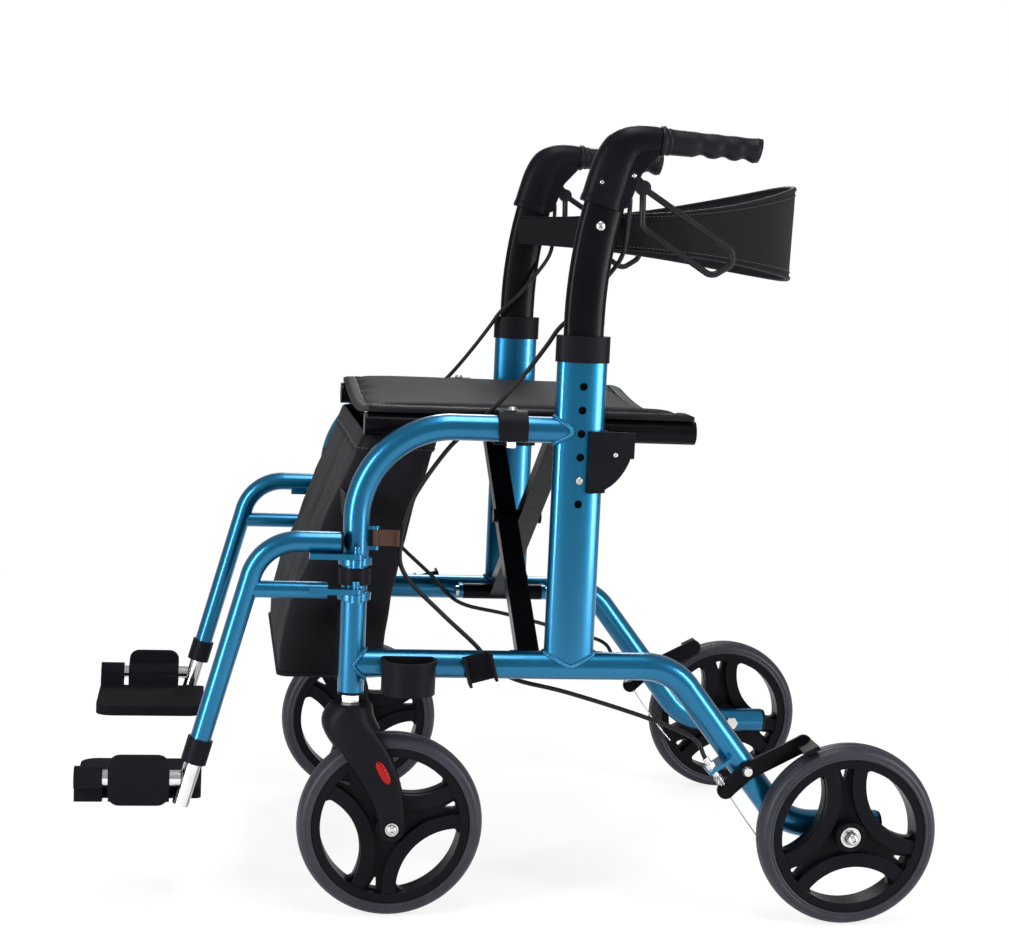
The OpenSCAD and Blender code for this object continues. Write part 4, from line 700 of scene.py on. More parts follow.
# Cross brace and seat rails
# Two flat bars that cross under the seat, welded to their foot tubes and to the seat rails, and
# the seat rails themselves, all in black powder coat.
def powder(shade):
    normal, edge = edge_of(shade, 0.0007)
    peel = speckle(shade, 700.0, 2.0)
    cloud = speckle(shade, 11.0, 3.0)
    # Edges are lighter in patches: partly edge wear, partly a painted edge highlight.
    worn_and_edge_highlight = edge * speckle(shade, 160.0, 4.0)
    return {"Base Color": (cloud * 0.4 + worn_and_edge_highlight).mix((0.0008, 0.0008, 0.0014, 1), (0.009, 0.009, 0.012, 1)),
            "Roughness": peel * 0.1 + cloud * 0.06 + 0.2, "Specular IOR Level": 0.06,
            "Normal": bumped(shade, peel, 0.00014, 0.35, normal)}


black_powder = finish("black_powder", powder)
dress(["brace_bar_a", "brace_bar_b"] + both("seat_rail"), black_powder)


# Seat
# A padded sling of woven black nylon that lies on both seat rails, with a taped edge sewn on by
# one row of stitches. It is filled with thin foam, so it crowns between the tape.
def weave(across_way, along_way, pitch):
    """A plain weave's height, from two lengths in metres."""
    warp = (across_way * (math.pi / pitch)).math("SINE")
    weft = (along_way * (math.pi / pitch)).math("SINE")
    return warp * weft * 0.5 + 0.5


def woven(pitch, flat=True):
    """Black nylon cloth. Flat cloth lies in x and y, and other cloth has its own map."""
    def paint(shade):
        source = shade.place if flat else shade.node("ShaderNodeUVMap", {"uv_map": "cloth"})
        x, y = (shade.node("ShaderNodeSeparateXYZ", None, {0: source}, out=axis) for axis in ("X", "Y"))
        threads = weave(x, y, pitch)
        slub = speckle(shade, 160.0, 4.0)
        wear = speckle(shade, 13.0, 4.0)
        tone = threads * 0.45 + slub * 0.3 + wear * 0.35
        return {"Base Color": tone.mix(NYLON_DARK, NYLON_LIGHT),
                "Roughness": threads * 0.12 + wear * 0.1 + 0.6,
                "Specular IOR Level": 0.06, "Sheen Weight": 0.03, "Sheen Roughness": 0.5,
                "Normal": bumped(shade, threads * 0.8 + slub * 0.2, 0.00035, 0.7)}
    return paint


NYLON_DARK, NYLON_LIGHT = (0.0020, 0.0020, 0.0030, 1), (0.0085, 0.0085, 0.0110, 1)
seat_cloth = finish("seat_cloth", woven(0.0011))


def tape(shade):
    ribs = speckle(shade, 700.0)
    wear = speckle(shade, 25.0, 4.0)
    tone = ribs * 0.5 + wear * 0.5
    return {"Base Color": tone.mix((0.0020, 0.0020, 0.0030, 1), (0.009, 0.009, 0.0115, 1)),
            "Roughness": ribs * 0.12 + 0.5, "Specular IOR Level": 0.09,
            "Normal": bumped(shade, ribs, 0.0002, 0.5)}


binding_tape = finish("binding_tape", tape)


def thread(shade):
    ply = speckle(shade, 2400.0)
    return {"Base Color": ply.mix((0.012, 0.012, 0.014, 1), (0.05, 0.05, 0.055, 1)),
            "Roughness": ply * 0.15 + 0.45, "Normal": bumped(shade, ply, 0.0001, 0.4)}


black_thread = finish("black_thread", thread)

SEAT_HALF_W, SEAT_FRONT, SEAT_BACK = 0.2165, -0.1675, 0.1835
SEAT_REST_X, SEAT_SAG, RAIL_TOP = 0.190, 0.014, 0.5393
PAD_T, PAD_VOXEL, PAD_CAP, PAD_STEPS, FILL_FRAMES = 0.0075, 0.0045, 0.005, (48, 40), 20
PAD_EDGE, PAD_SQUARE, PAD_SINK = 0.45, 6, 0.003  # edge's share of thickness, crown, sag between rails
EDGE_STEPS, RAIL_INNER_X = (36, 30), 0.176


def seat_low(x):
    share = min(abs(x), SEAT_REST_X) / SEAT_REST_X
    return RAIL_TOP - SEAT_SAG * (1 - share * share)


def pad_t(u, v):
    inside = max(0.0, (1 - u ** PAD_SQUARE) * (1 - v ** PAD_SQUARE))
    return PAD_T * (PAD_EDGE + (1 - PAD_EDGE) * inside ** 0.5)


def seat_base():
    """The flat pad before it is filled: an upper and a lower sheet closed round the edge."""
    nx, ny = PAD_STEPS
    mid, half = (SEAT_FRONT + SEAT_BACK) / 2, (SEAT_BACK - SEAT_FRONT) / 2
    rows = []
    for j in range(ny + 1):
        v = 2 * j / ny - 1
        upper = [(u * SEAT_HALF_W, mid + v * half, seat_low(u * SEAT_HALF_W) + pad_t(u, v))
                 for u in (2 * i / nx - 1 for i in range(nx + 1))]
        lower = [(x, y, seat_low(x)) for x, y, _ in reversed(upper)]
        rows.append(upper + lower)
    return skin(rows)


pad = piece("seat_pad", seat_base(), seat_cloth, None, 180)


def filled(thing, voxel, cap, floor_of):
    """Blows a closed cloth form up by a cloth simulation and keeps each point near its place."""
    even_out(thing, voxel)
    before = [v.co.copy() for v in applied(thing).vertices]
    cloth = thing.modifiers.new("fill", "CLOTH")
    cloth.settings.use_pressure = True
    cloth.settings.uniform_pressure_force = 4.0
    cloth.settings.quality = 5
    cloth.settings.effector_weights.gravity = 0.0
    cloth.settings.mass = 0.3
    cloth.point_cache.frame_start, cloth.point_cache.frame_end = 1, FILL_FRAMES
    for step in range(1, FILL_FRAMES + 1):
        scene.frame_set(step)
    applied(thing)
    scene.frame_set(1)
    for vertex, was in zip(thing.data.vertices, before):
        shift = vertex.co - was
        if shift.length > cap:
            vertex.co = was + shift * (cap / shift.length)
        low = floor_of(vertex.co.x)
        if vertex.co.z < low:
            vertex.co.z = low
    smooth_out(thing, 3)
    finer = thing.modifiers.new("finer", "SUBSURF")
    finer.levels = finer.render_levels = 1
    applied(thing).shade_smooth()


def pad_floor(x):
    """How low the filled pad may sink: onto the rails, or a little between them."""
    return seat_low(x) - (0.0 if abs(x) > RAIL_INNER_X else PAD_SINK)


filled(pad, PAD_VOXEL, PAD_CAP, pad_floor)
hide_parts("seat_sling")
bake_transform(pad)


def seat_edge(inset):
    """Points round the seat, this far inside its edge."""
    w, front, back = SEAT_HALF_W - inset, SEAT_FRONT + inset, SEAT_BACK - inset
    nx, ny = EDGE_STEPS
    path = [(-w + 2 * w * i / nx, front) for i in range(nx)]
    path += [(w, front + (back - front) * j / ny) for j in range(ny)]
    path += [(w - 2 * w * i / nx, back) for i in range(nx)]
    return path + [(-w, back - (back - front) * j / ny) for j in range(ny)]


TAPE_W, TAPE_UP, TAPE_OUT, SEAM_IN = 0.013, 0.0072, 0.001, 0.0095
SEAT_STITCH = (0.0042, 0.0032, 0.0009)  # pitch, length, width
tape_rings = []
for (x, y), (xi, yi) in zip(seat_edge(-TAPE_OUT), seat_edge(TAPE_W)):
    low, low_in = seat_low(x), seat_low(xi)
    tape_rings.append([
        (xi, yi, low_in + TAPE_UP), ((x * 2 + xi) / 3, (y * 2 + yi) / 3, low + TAPE_UP * 0.98),
        (x, y, low + TAPE_UP * 0.72), (x * 1.002, y, low + TAPE_UP * 0.4), (x, y, low + 0.0004),
        ((x + xi) / 2, (y + yi) / 2, low + 0.0002), (xi, yi, low_in + 0.0012)])
seat_tape = piece("seat_tape", skin(tape_rings, loop=True), binding_tape, None, 70)
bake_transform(seat_tape)

seam = [(x, y, seat_low(x) + TAPE_UP + 0.0003) for x, y in seat_edge(SEAM_IN)]
seat_stitches = beads("seat_stitches", [seam + seam[:1]], *SEAT_STITCH, black_thread, "black_fabric")
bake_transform(seat_stitches)


# Handles
# Black oval tubes that slide in the uprights, with a moulded elbow, a soft grip with finger
# grooves, and a closed loop of rod as brake lever.
dress(both("handle_tube"), black_powder)
elbow_nylon = finish("elbow_nylon", moulded((0.0014, 0.0014, 0.0028, 1), 1700.0, 0.33, 0.0010))
ELBOW_FOOT, ELBOW_LEAN = (0.0652, 0.7658), math.radians(16)
ELBOW_END, ELBOW_SLOPE = (0.1250, 0.8362), math.radians(2.6)
ELBOW_PULL = (0.056, 0.046)  # how far the bend's start and end run on
ELBOW_STEPS = 60
ELBOW_SIZES = (  # share along the bend, half depth, half width, squareness
    (0.0, 0.0230, 0.0148, 2.6), (0.035, 0.0231, 0.0148, 2.6), (0.05, 0.0225, 0.0142, 2.6),
    (0.3, 0.0224, 0.0148, 2.5), (0.55, 0.0212, 0.0152, 2.3), (0.8, 0.0170, 0.0150, 2.1),
    (1.0, 0.0146, 0.0146, 2.0))


def elbow_size(t):
    """Half depth, half width and squareness of the elbow's section."""
    for low, high in zip(ELBOW_SIZES, ELBOW_SIZES[1:]):
        if t <= high[0]:
            part = (t - low[0]) / (high[0] - low[0])
            return [a + (b - a) * part for a, b in zip(low[1:], high[1:])]


def elbow_mesh(sign):
    """The bend as sections swept along a curve from the tube's end to the grip."""
    foot, end = Vector(ELBOW_FOOT), Vector(ELBOW_END)
    first = foot + ELBOW_PULL[0] * Vector((math.sin(ELBOW_LEAN), math.cos(ELBOW_LEAN)))
    second = end - ELBOW_PULL[1] * Vector((math.cos(ELBOW_SLOPE), -math.sin(ELBOW_SLOPE)))
    rings = []
    for k in range(ELBOW_STEPS + 1):
        t = k / ELBOW_STEPS
        u = 1 - t
        spot = u ** 3 * foot + 3 * u * u * t * first + 3 * u * t * t * second + t ** 3 * end
        along = (u * u * (first - foot) + 2 * u * t * (second - first) + t * t * (end - second)).normalized()
        deep, wide, square = elbow_size(t)
        rings.append([(sign * (FRAME_X + wide * w), spot.x + deep * c * along.y, spot.y - deep * c * along.x)
                      for c, w in oval(44, square)])
    return skin(rings)


WEB_HALF = 0.0112
WEB_CUTS = (  # where the web ends: a point and the way out, each as y and z
    ((0.1235, 0.8), (1, 0)), ((0.0772, 0.7658), (-0.961, 0.276)), ((0.1, 0.826), (0, 1)))


def web_mesh(node):
    """The housing's part behind the bend, which carries the lever."""
    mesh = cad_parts[node].data.copy()
    work = bmesh.new()
    work.from_mesh(mesh)
    bmesh.ops.remove_doubles(work, verts=work.verts, dist=1e-6)
    for spot, way in WEB_CUTS:
        parts = work.verts[:] + work.edges[:] + work.faces[:]
        cut = bmesh.ops.bisect_plane(work, geom=parts, plane_co=(0, *spot), plane_no=(0, *way),
                                     clear_outer=True)
        rim = [part for part in cut["geom_cut"] if isinstance(part, bmesh.types.BMEdge)]
        bmesh.ops.holes_fill(work, edges=rim)
    middle = math.copysign(FRAME_X, work.verts[:][0].co.x)
    for vertex in work.verts:
        vertex.co.x = max(middle - WEB_HALF, min(middle + WEB_HALF, vertex.co.x))
    work.to_mesh(mesh)
    work.free()
    return mesh


for side, sign in SIDES:
    piece(f"{side}_elbow", elbow_mesh(sign), elbow_nylon, f"{side}_handle", 35)
    web = piece(f"{side}_lever_web", web_mesh(f"{side}_handle_housing"), elbow_nylon,
                None, 180)
    rounded_over(web, 0.0011, 10)
    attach(web, f"{side}_handle")
    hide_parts(f"{side}_handle_housing")


def smooth_black(fine_grain, coarse_grain, fine_share, rough, shine, depth):
    """Black coated rod and sheath."""
    def paint(shade):
        fine = speckle(shade, fine_grain)
        cloud = speckle(shade, coarse_grain, 3.0)
        return {"Base Color": cloud.mix((0.0032, 0.0032, 0.004, 1), (0.012, 0.012, 0.014, 1)),
                "Roughness": fine * fine_share + cloud * 0.1 + rough, "Specular IOR Level": shine,
                "Normal": bumped(shade, fine, depth, 0.3)}
    return paint


lever_black = finish("lever_black", smooth_black(900.0, 30.0, 0.1, 0.26, 0.15, 0.0001))
dress(both("brake_lever"), lever_black)


def grip_skin(shade):
    pores = cells_of(shade, 900.0)
    hand = speckle(shade, 45.0, 5.0)
    tone = pores * 0.4 + hand * 0.5
    return {"Base Color": tone.mix((0.0018, 0.0018, 0.0030, 1), (0.010, 0.010, 0.013, 1)),
            "Roughness": hand * 0.22 + pores * 0.1 + 0.24, "Specular IOR Level": 0.10,
            "Normal": bumped(shade, pores, 0.0003, 0.4)}


grip_rubber = finish("grip_rubber", grip_skin)
GRIP_START, GRIP_SLOPE, GRIP_LEN, GRIP_R = (0.126, 0.8362), math.radians(2.6), 0.110, 0.0138
GRIP_TAPER, GRIP_STEPS = 0.010, 88
GRIP_END = ((0.9965, 1.0), (0.999, 0.9), (1.0, 0.7), (1.0, 0.35), (1.0, 0.05))  # share of length, of radius
GRIP_RIBS = (  # height, place along the grip, half length, squareness
    (0.0026, 0.0022, 0.0030, 4), (0.0009, 0.0085, 0.0018, 2), (0.0007, 0.1045, 0.0022, 2))
GROOVES, GROOVE_HALF, GROOVE_DEEP, GROOVE_TOP = (0.045, 0.069, 0.092), 0.0105, 0.0030, 0.16
SLANT_FROM, SLANT = 0.085, 0.0036


def grip_radius(s, down):
    """The grip's radius at a distance along it, where down is 1 below and -1 above. It has a flange
    and a bead in front, a groove for each finger and a bead at its end."""
    r = GRIP_R - GRIP_TAPER * s
    r += sum(tall * math.exp(-((s - at) / half) ** square) for tall, at, half, square in GRIP_RIBS)
    for groove in GROOVES:
        d = abs(s - groove) / GROOVE_HALF
        if d < 1:
            below = GROOVE_TOP + (1 - GROOVE_TOP) * (0.5 + 0.5 * down) ** 1.4
            r -= GROOVE_DEEP * (0.5 + 0.5 * math.cos(math.pi * d)) * below
    return r


def grip_mesh(sign):
    along = [(0.0, 0.82)] + [(GRIP_LEN * k / GRIP_STEPS, 1.0) for k in range(GRIP_STEPS)]
    rings = []
    for s, share in along + [(GRIP_LEN * t, c) for t, c in GRIP_END]:
        row = []
        for a in turns(48):
            down = -math.cos(a)
            slant = SLANT * (0.5 + 0.5 * down) * max(0.0, (s - SLANT_FROM) / (GRIP_LEN - SLANT_FROM))
            r = grip_radius(s, down) * share
            y0 = GRIP_START[0] + (s - slant) * math.cos(GRIP_SLOPE)
            z0 = GRIP_START[1] - (s - slant) * math.sin(GRIP_SLOPE)
            row.append((sign * (FRAME_X + r * math.sin(a)), y0 + r * math.cos(a) * math.sin(GRIP_SLOPE),
                        z0 + r * math.cos(a) * math.cos(GRIP_SLOPE)))
        rings.append(row)
    return skin(rings)


for side, sign in SIDES:
    soft_grip = piece(f"{side}_soft_grip", grip_mesh(sign), grip_rubber, f"{side}_handle", 60)
    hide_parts(f"{side}_grip")


# Brake cables
# A black sheath of 5 mm runs from each lever down past the upright, under the seat and back along
# the base rail to an adjuster at the rear leg. A steel wire comes out there, through a spring, and
# pulls the black brake arm.
dress(both("brake_arm"), black_powder)
cable_black = finish("cable_black", smooth_black(1100.0, 40.0, 0.12, 0.3, 0.14, 0.00012))
PULL_FROM, PULL_ALONG = (0.255, 0.21672, 0.164), (0.0, 0.573576, -0.819152)


def on_pull(s, lift=0.0, turn=0.0):
    """A point along the left wire's pull at the rear leg, or beside it."""
    x, y, z = (p + s * d for p, d in zip(PULL_FROM, PULL_ALONG))
    side_way = lift * math.sin(turn)
    return Vector((x + lift * math.cos(turn), y - side_way * PULL_ALONG[2], z + side_way * PULL_ALONG[1]))


CABLE_D = 0.005
BLEND_X, BLEND_Y, BLEND_LOW, BLEND_HIGH = 0.23, 0.05, 0.600, 0.755  # where it comes to follow the handle
CABLE_POINTS = (
    (0.240, 0.0970, 0.7747), (0.239, 0.0970, 0.7607), (0.236, 0.096, 0.735), (0.230, 0.092, 0.712),
    (0.224, 0.078, 0.690), (0.223, 0.050, 0.655), (0.224, 0.030, 0.635), (0.225, 0.018, 0.617),
    (0.225, -0.005, 0.585), (0.222, -0.032, 0.552), (0.221, -0.058, 0.527), (0.221, -0.085, 0.500),
    (0.220, -0.119, 0.446), (0.220, -0.130, 0.397), (0.220, -0.123, 0.365), (0.219, -0.084, 0.326),
    (0.218, -0.045, 0.291), (0.218, -0.024, 0.268), (0.220, 0.002, 0.253), (0.225, 0.057, 0.241),
    (0.237, 0.140, 0.218), on_pull(-0.044), on_pull(-0.018), on_pull(-0.011))


def tube_mesh(path, radius, count=10):
    """A round tube with closed ends along a path, without twist."""
    rings = []
    side_way = None
    for i, p in enumerate(path):
        along = (path[min(i + 1, len(path) - 1)] - path[max(i - 1, 0)]).normalized()
        if side_way is None:
            side_way = along.orthogonal().normalized()
        side_way = (side_way - along * side_way.dot(along)).normalized()
        other = along.cross(side_way)
        rings.append([p + radius * (math.cos(a) * side_way + math.sin(a) * other) for a in turns(count)])
    return skin(rings)


SPRING_FROM, SPRING_TO, SPRING_TURNS, SPRING_R, SPRING_WIRE = 0.0086, 0.0202, 6.5, 0.0041, 0.00062
WIRE_FROM, WIRE_LONG, WIRE_STEPS, WIRE_R = 0.0075, 0.0145, 8, 0.0008
TAIL = ((0.0330, 0.0), (0.050, 0.0), (0.075, 0.0006), (0.100, 0.0022), (0.122, 0.0048))
SPRING_STEPS = int(SPRING_TURNS * 18)
for side, sign in SIDES:
    leg, brake = f"{side}_frame", f"{side}_brake"
    path = on_side(smooth_path(CABLE_POINTS, 6), sign)
    cable = piece(f"{side}_cable_sheath", tube_mesh(path, CABLE_D / 2), cable_black, None, 60)
    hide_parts(f"{side}_brake_cable")
    low, high = ((sign * BLEND_X, BLEND_Y, z) for z in (BLEND_LOW, BLEND_HIGH))
    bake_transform(cable)

    coil = []
    for k in range(SPRING_STEPS + 1):
        share = k / SPRING_STEPS
        turn = 2 * math.pi * SPRING_TURNS * share
        coil.append(on_pull(SPRING_FROM + (SPRING_TO - SPRING_FROM) * share, SPRING_R, turn))
    coil_mesh = tube_mesh(on_side(coil, sign), SPRING_WIRE, 6)
    spring = piece(f"{side}_return_spring", coil_mesh, zinc_plate, None, 60)
    first, last = on_side([on_pull(SPRING_FROM), on_pull(SPRING_TO)], sign)
    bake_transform(spring)
    bare = on_side([on_pull(WIRE_FROM + WIRE_LONG * k / WIRE_STEPS) for k in range(WIRE_STEPS + 1)], sign)
    inner = piece(f"{side}_inner_wire", tube_mesh(bare, WIRE_R, 8), zinc_plate, None, 60)
    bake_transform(inner)
    tail = smooth_path(on_side([on_pull(s, bow, math.pi / 2) for s, bow in TAIL], sign), 8)
    piece(f"{side}_wire_tail", tube_mesh(tail, WIRE_R, 8), zinc_plate, brake, 60)


# Back strap
# A padded band of black nylon between the handle tubes, bolted at its ends, bound with tape along
# both edges. It bows back and is tallest in the middle.
strap_cloth = finish("strap_cloth", woven(0.0012, flat=False))
STRAP_FRONT, STRAP_REAR, STRAP_HALF, STRAP_Z, STRAP_T = 0.050, 0.335, 0.2267, 0.748, 0.004
STRAP_END_H, STRAP_MID_H, STRAP_END_DROP, STRAP_STEPS, BAND_STEPS = 0.036, 0.112, 0.008, 110, 14
STRAP_STITCH, STRAP_SEAM_V, STRAP_SEAM_OUT = (0.0044, 0.0033, 0.0010), 0.82, STRAP_T / 2 + 0.0002
STRAP_SEAM_STEPS, STRAP_SEAM_ENDS = 160, 3  # the seam stops this many steps from the band's ends
STRAP_CROSS_SEAMS, CROSS_V, CROSS_STEPS = (0.13, 0.17, math.pi - 0.13, math.pi - 0.17), 0.75, 30
RIPPLE, RIPPLE_WAVES, RIPPLE_LEAN, RIPPLE_MID = 0.0011, 9, 2.2, 0.4


def strap_at(t, v, out):
    """A point of the band: t along it from 0 to pi, v from -1 below to 1 above, out off its middle."""
    depth = STRAP_REAR - STRAP_FRONT
    x, y = STRAP_HALF * math.cos(t), STRAP_FRONT + depth * math.sin(t)
    nx, ny = depth * math.cos(t), STRAP_HALF * math.sin(t)
    size = math.hypot(nx, ny)
    tall = STRAP_END_H + (STRAP_MID_H - STRAP_END_H) * (1 - math.cos(2 * t)) / 2
    towards_edge = RIPPLE_MID + (1 - RIPPLE_MID) * abs(v)
    out += RIPPLE * math.sin(RIPPLE_WAVES * t + RIPPLE_LEAN * v) * math.sin(t) * towards_edge
    middle = STRAP_Z - STRAP_END_DROP * (1 + math.cos(2 * t)) / 2
    return x + out * nx / size, y + out * ny / size, middle + v * tall / 2


def strap_rings(rows):
    return [[strap_at(math.pi * k / STRAP_STEPS, v, out) for v, out in rows] for k in range(STRAP_STEPS + 1)]


def band_rows():
    """The band's section: thickest in its middle."""
    outer = []
    for k in range(BAND_STEPS + 1):
        v = -1 + 2 * k / BAND_STEPS
        outer.append((0.96 * v, STRAP_T / 2 * (0.72 + 0.28 * (1 - v ** 4))))
    return outer + [(v, -out) for v, out in reversed(outer)]


def cloth_map(mesh, rings, width_of):
    """A map of the cloth in metres: along the rings and round them."""
    layer = mesh.uv_layers.new(name="cloth")
    count = len(rings[0])
    run = [0.0]
    for a, b in zip(rings, rings[1:]):
        run.append(run[-1] + (Vector(b[0]) - Vector(a[0])).length)
    for face in mesh.polygons:
        wraps = {mesh.loops[i].vertex_index % count for i in face.loop_indices} == {0, count - 1}
        for i in face.loop_indices:
            row, col = divmod(mesh.loops[i].vertex_index, count)
            col = count if wraps and col == 0 else col
            layer.data[i].uv = (run[row], width_of * col / count)


strap_grid = strap_rings(band_rows())
strap_mesh = skin(strap_grid)
cloth_map(strap_mesh, strap_grid, 2 * STRAP_MID_H)
strap = piece("strap_band", strap_mesh, strap_cloth, "left_handle", 60)
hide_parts("back_strap")
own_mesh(strap)

EDGE_AT, EDGE_HALF_H, EDGE_HALF_T = 0.955, 0.05, 0.0031  # the first two as shares of the half height
for name, mid in (("upper", EDGE_AT), ("lower", -EDGE_AT)):
    rings = strap_rings([(mid + EDGE_HALF_H * math.cos(a), EDGE_HALF_T * math.sin(a)) for a in turns(12)])
    edge = piece(f"strap_{name}_tape", skin(rings), binding_tape, "left_handle", 70)
    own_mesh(edge)
seam_steps = range(STRAP_SEAM_ENDS, STRAP_SEAM_STEPS - STRAP_SEAM_ENDS + 1)
strap_lines = [[strap_at(math.pi * k / STRAP_SEAM_STEPS, v, STRAP_SEAM_OUT) for k in seam_steps]
               for v in (STRAP_SEAM_V, -STRAP_SEAM_V)]
strap_lines += [[strap_at(t, CROSS_V * (2 * k / CROSS_STEPS - 1), STRAP_SEAM_OUT)
                 for k in range(CROSS_STEPS + 1)] for t in STRAP_CROSS_SEAMS]
strap_stitches = beads("strap_stitches", strap_lines, *STRAP_STITCH, black_thread, "black_fabric")
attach(strap_stitches, "left_handle")
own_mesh(strap_stitches)


# Storage bag
# An unlined bag of black nylon under the front of the seat, open at the top, with a taped hem and
# piping round its floor. Four bows of webbing round the front posts hold it.
bag_cloth = finish("bag_cloth", woven(0.0013, flat=False))
BAG_TOP, BAG_LOW = 0.512, 0.247
BAG_FRONT = ((0.512, -0.170), (0.420, -0.208), (0.330, -0.243), (0.275, -0.2540), (0.247, -0.2535))
BAG_BACK = ((0.512, -0.090), (0.440, -0.109), (0.380, -0.124), (0.300, -0.134), (0.247, -0.143))
BAG_HALF, BAG_TAPER, BAG_CORNER, BAG_ROWS, BAG_COUNT = 0.1865, 0.035, 0.011, 46, 168
BAG_FLOOR_SAG, BAG_FLOOR_RINGS, BAG_WALL = 0.0045, (0.97, 0.85, 0.6, 0.3, 0.04), 0.0016
BAG_FLAT, BAG_PULLS, BAG_CRUMPLE, BAG_DRAWN = (1.0, 0.42), 0.0055, 0.0022, 0.002


def profile_at(profile, z):
    for (za, ya), (zb, yb) in zip(profile, profile[1:]):
        if z >= zb:
            t = (za - z) / (za - zb)
            return ya + (yb - ya) * t
    return profile[-1][1]


def round_rect(t, half_x, half_y, r):
    """A point on a rectangle with round corners, t from 0 to 1 round it, and its way outwards."""
    lengths, reaches, arc = (2 * (half_y - r), 2 * (half_x - r)), (half_x, half_y), math.pi * r / 2
    run = (t % 1.0) * (2 * sum(lengths) + 4 * arc)
    for k in range(4):
        turn, length, reach = k * math.pi / 2, lengths[k % 2], reaches[k % 2]
        out = Vector((math.cos(turn), math.sin(turn), 0))
        along = Vector((-out.y, out.x, 0))
        if run <= length:
            return out * reach + along * (run - length / 2), out
        run -= length
        if run <= arc or k == 3:
            way = Vector((math.cos(turn + run / r), math.sin(turn + run / r), 0))
            return out * (reach - r) + along * (length / 2) + way * r, way
        run -= arc


def bag_point(share, t, grow=0.0):
    """A point of the bag's wall: share from 0 at the hem to 1 at the floor, t round it."""
    z = BAG_TOP - (BAG_TOP - BAG_LOW) * share
    front, back = profile_at(BAG_FRONT, z), profile_at(BAG_BACK, z)
    half_x, half_y = BAG_HALF * (1 - BAG_TAPER * share * share), (back - front) / 2
    spot, way = round_rect(t, half_x + grow, half_y + grow, BAG_CORNER)
    slack = math.sin(math.pi * share) ** 0.8
    pulls = noise.noise(Vector((spot.x * 16 + z * 9, spot.y * 18, z * 6)))
    crumple = noise.noise(Vector((spot.x * 38, spot.y * 30 + 4.0, z * 34)))
    spot += way * slack * (BAG_PULLS * pulls + BAG_CRUMPLE * crumple - BAG_DRAWN)
    return spot.x, spot.y + (front + back) / 2, z


bag_grid = [[bag_point(j / BAG_ROWS, k / BAG_COUNT) for k in range(BAG_COUNT)] for j in range(BAG_ROWS + 1)]
last = bag_grid[-1]
centre_y = sum(p[1] for p in last) / BAG_COUNT
for share in BAG_FLOOR_RINGS:
    floor_z = BAG_LOW - BAG_FLOOR_SAG * (1 - share) ** 0.7
    bag_grid.append([(x * share, centre_y + (y - centre_y) * share, floor_z) for x, y, _ in last])
bag_mesh = skin(bag_grid, caps=False)
cloth_map(bag_mesh, bag_grid, 1.0)
bag = piece("bag_shell", bag_mesh, bag_cloth, None, 75)
wall = bag.modifiers.new("cloth_wall", "SOLIDIFY")
wall.thickness, wall.offset = BAG_WALL, -1.0
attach(bag, "left_frame")
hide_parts("storage_bag")
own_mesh(bag)

PIPING_R, HEM_OUT, HEM_IN, HEM_TALL, HEM_SEAM = 0.0023, 0.0014, -0.0030, 0.065, 0.055
HEM_STITCH, HEM_POINTS, HEM_CROWN, STITCH_OUT = (0.0046, 0.0034, 0.0010), 400, 0.0016, 0.0005
hem_rings, piping_rings = [], []
for k in range(BAG_COUNT):
    t = k / BAG_COUNT
    outer, inner, outer_low, inner_low = [Vector(bag_point(share, t, grow)) for share in (0.0, HEM_TALL)
                                          for grow in (HEM_OUT, HEM_IN)]
    top = (outer + inner) / 2 + Vector((0, 0, HEM_CROWN))
    hem_rings.append([outer_low, outer, top, inner, inner_low])
    foot, beside = Vector(bag_point(1.0, t)), Vector(bag_point(1.0, t, PIPING_R))
    piping_rings.append([foot + (beside - foot) * math.cos(a) + Vector((0, 0, PIPING_R * math.sin(a)))
                         for a in turns(8)])
for name, rings in (("bag_hem", hem_rings), ("bag_piping", piping_rings)):
    trim = piece(name, skin(rings, loop=True), binding_tape, "left_frame", 60)
    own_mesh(trim)

hem_line = [bag_point(HEM_SEAM, k / HEM_POINTS, HEM_OUT + STITCH_OUT) for k in range(HEM_POINTS)]
bag_stitches = beads("bag_stitches", [hem_line + hem_line[:1]], *HEM_STITCH, black_thread, "black_fabric")
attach(bag_stitches, "left_frame")
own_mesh(bag_stitches)

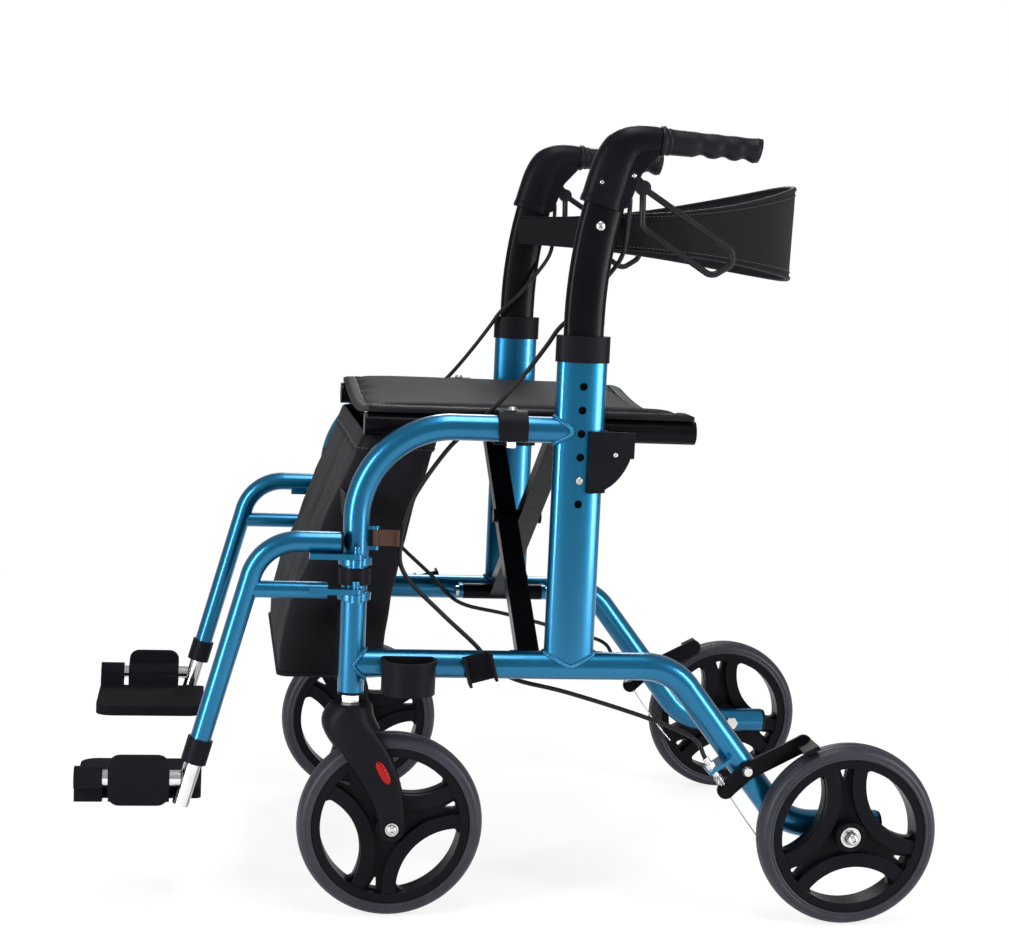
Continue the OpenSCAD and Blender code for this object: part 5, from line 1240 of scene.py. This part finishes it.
BOW_R, BOW_T, BOW_HALF_H, BOW_HUG = POST_R + 0.0010, 0.0016, 0.0125, math.radians(50)
BOW_FOOT_X, BOW_SPREAD, BOW_STEPS, BOW_LEVELS = 0.1855, 0.014, 12, (("lower", 0.315), ("upper", 0.440))
for level, z in BOW_LEVELS:
    for side, sign in SIDES:
        hug = [math.pi - BOW_HUG + 2 * BOW_HUG * k / BOW_STEPS for k in range(BOW_STEPS + 1)]
        bow = [(BOW_FOOT_X, POST_Y + BOW_SPREAD)]
        bow += [(FRAME_X + BOW_R * math.cos(a), POST_Y + BOW_R * math.sin(a)) for a in hug]
        bow += [(BOW_FOOT_X, POST_Y - BOW_SPREAD)]
        rings = []
        for k, (x, y) in enumerate(bow):
            ahead_of, behind = Vector(bow[min(k + 1, len(bow) - 1)]), Vector(bow[max(k - 1, 0)])
            run = (ahead_of - behind).normalized() * BOW_T / 2
            rings.append([(sign * (x + dx * run.y), y - dx * run.x, z + dz * BOW_HALF_H)
                          for dx, dz in ((1, 1), (-1, 1), (-1, -1), (1, -1))])
        webbing = piece(f"{side}_{level}_bow", skin(rings), binding_tape, "left_frame", 50)
        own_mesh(webbing)


# Footrests
# A chromed tube slides in each blue hanger and carries a black moulded footplate on a rod. The
# release tab on the post is a dark brown moulding.
def chrome(shade):
    normal, edge = edge_of(shade, 0.0006)
    haze = speckle(shade, 70.0, 5.0)
    drawn = speckle(shade, 500.0, 3.0)
    # The colour is lighter at every edge: a painted edge highlight. The haze is random tone.
    tone = haze * 0.6 + edge * 0.2
    return {"Base Color": tone.mix((0.52, 0.53, 0.54, 1), (0.78, 0.79, 0.80, 1)), "Metallic": 1.0,
            "Roughness": haze * 0.14 + drawn * 0.05 + 0.06,
            "Normal": bumped(shade, drawn, 0.00003, 0.3, normal)}


dress(both("hanger"), blue_lacquer)
bright_chrome = finish("bright_chrome", chrome)
dress(both("foot_tube"), bright_chrome)
tread_nylon = finish("tread_nylon", moulded((0.0018, 0.0018, 0.0030, 1), 800.0, 0.85, 0.0016))
dress(both("footplate"), tread_nylon)
tab_nylon = finish("tab_nylon", moulded((0.030, 0.016, 0.012, 1), 1400.0, 0.42, 0.0009))
dress(both("release_lever"), tab_nylon)
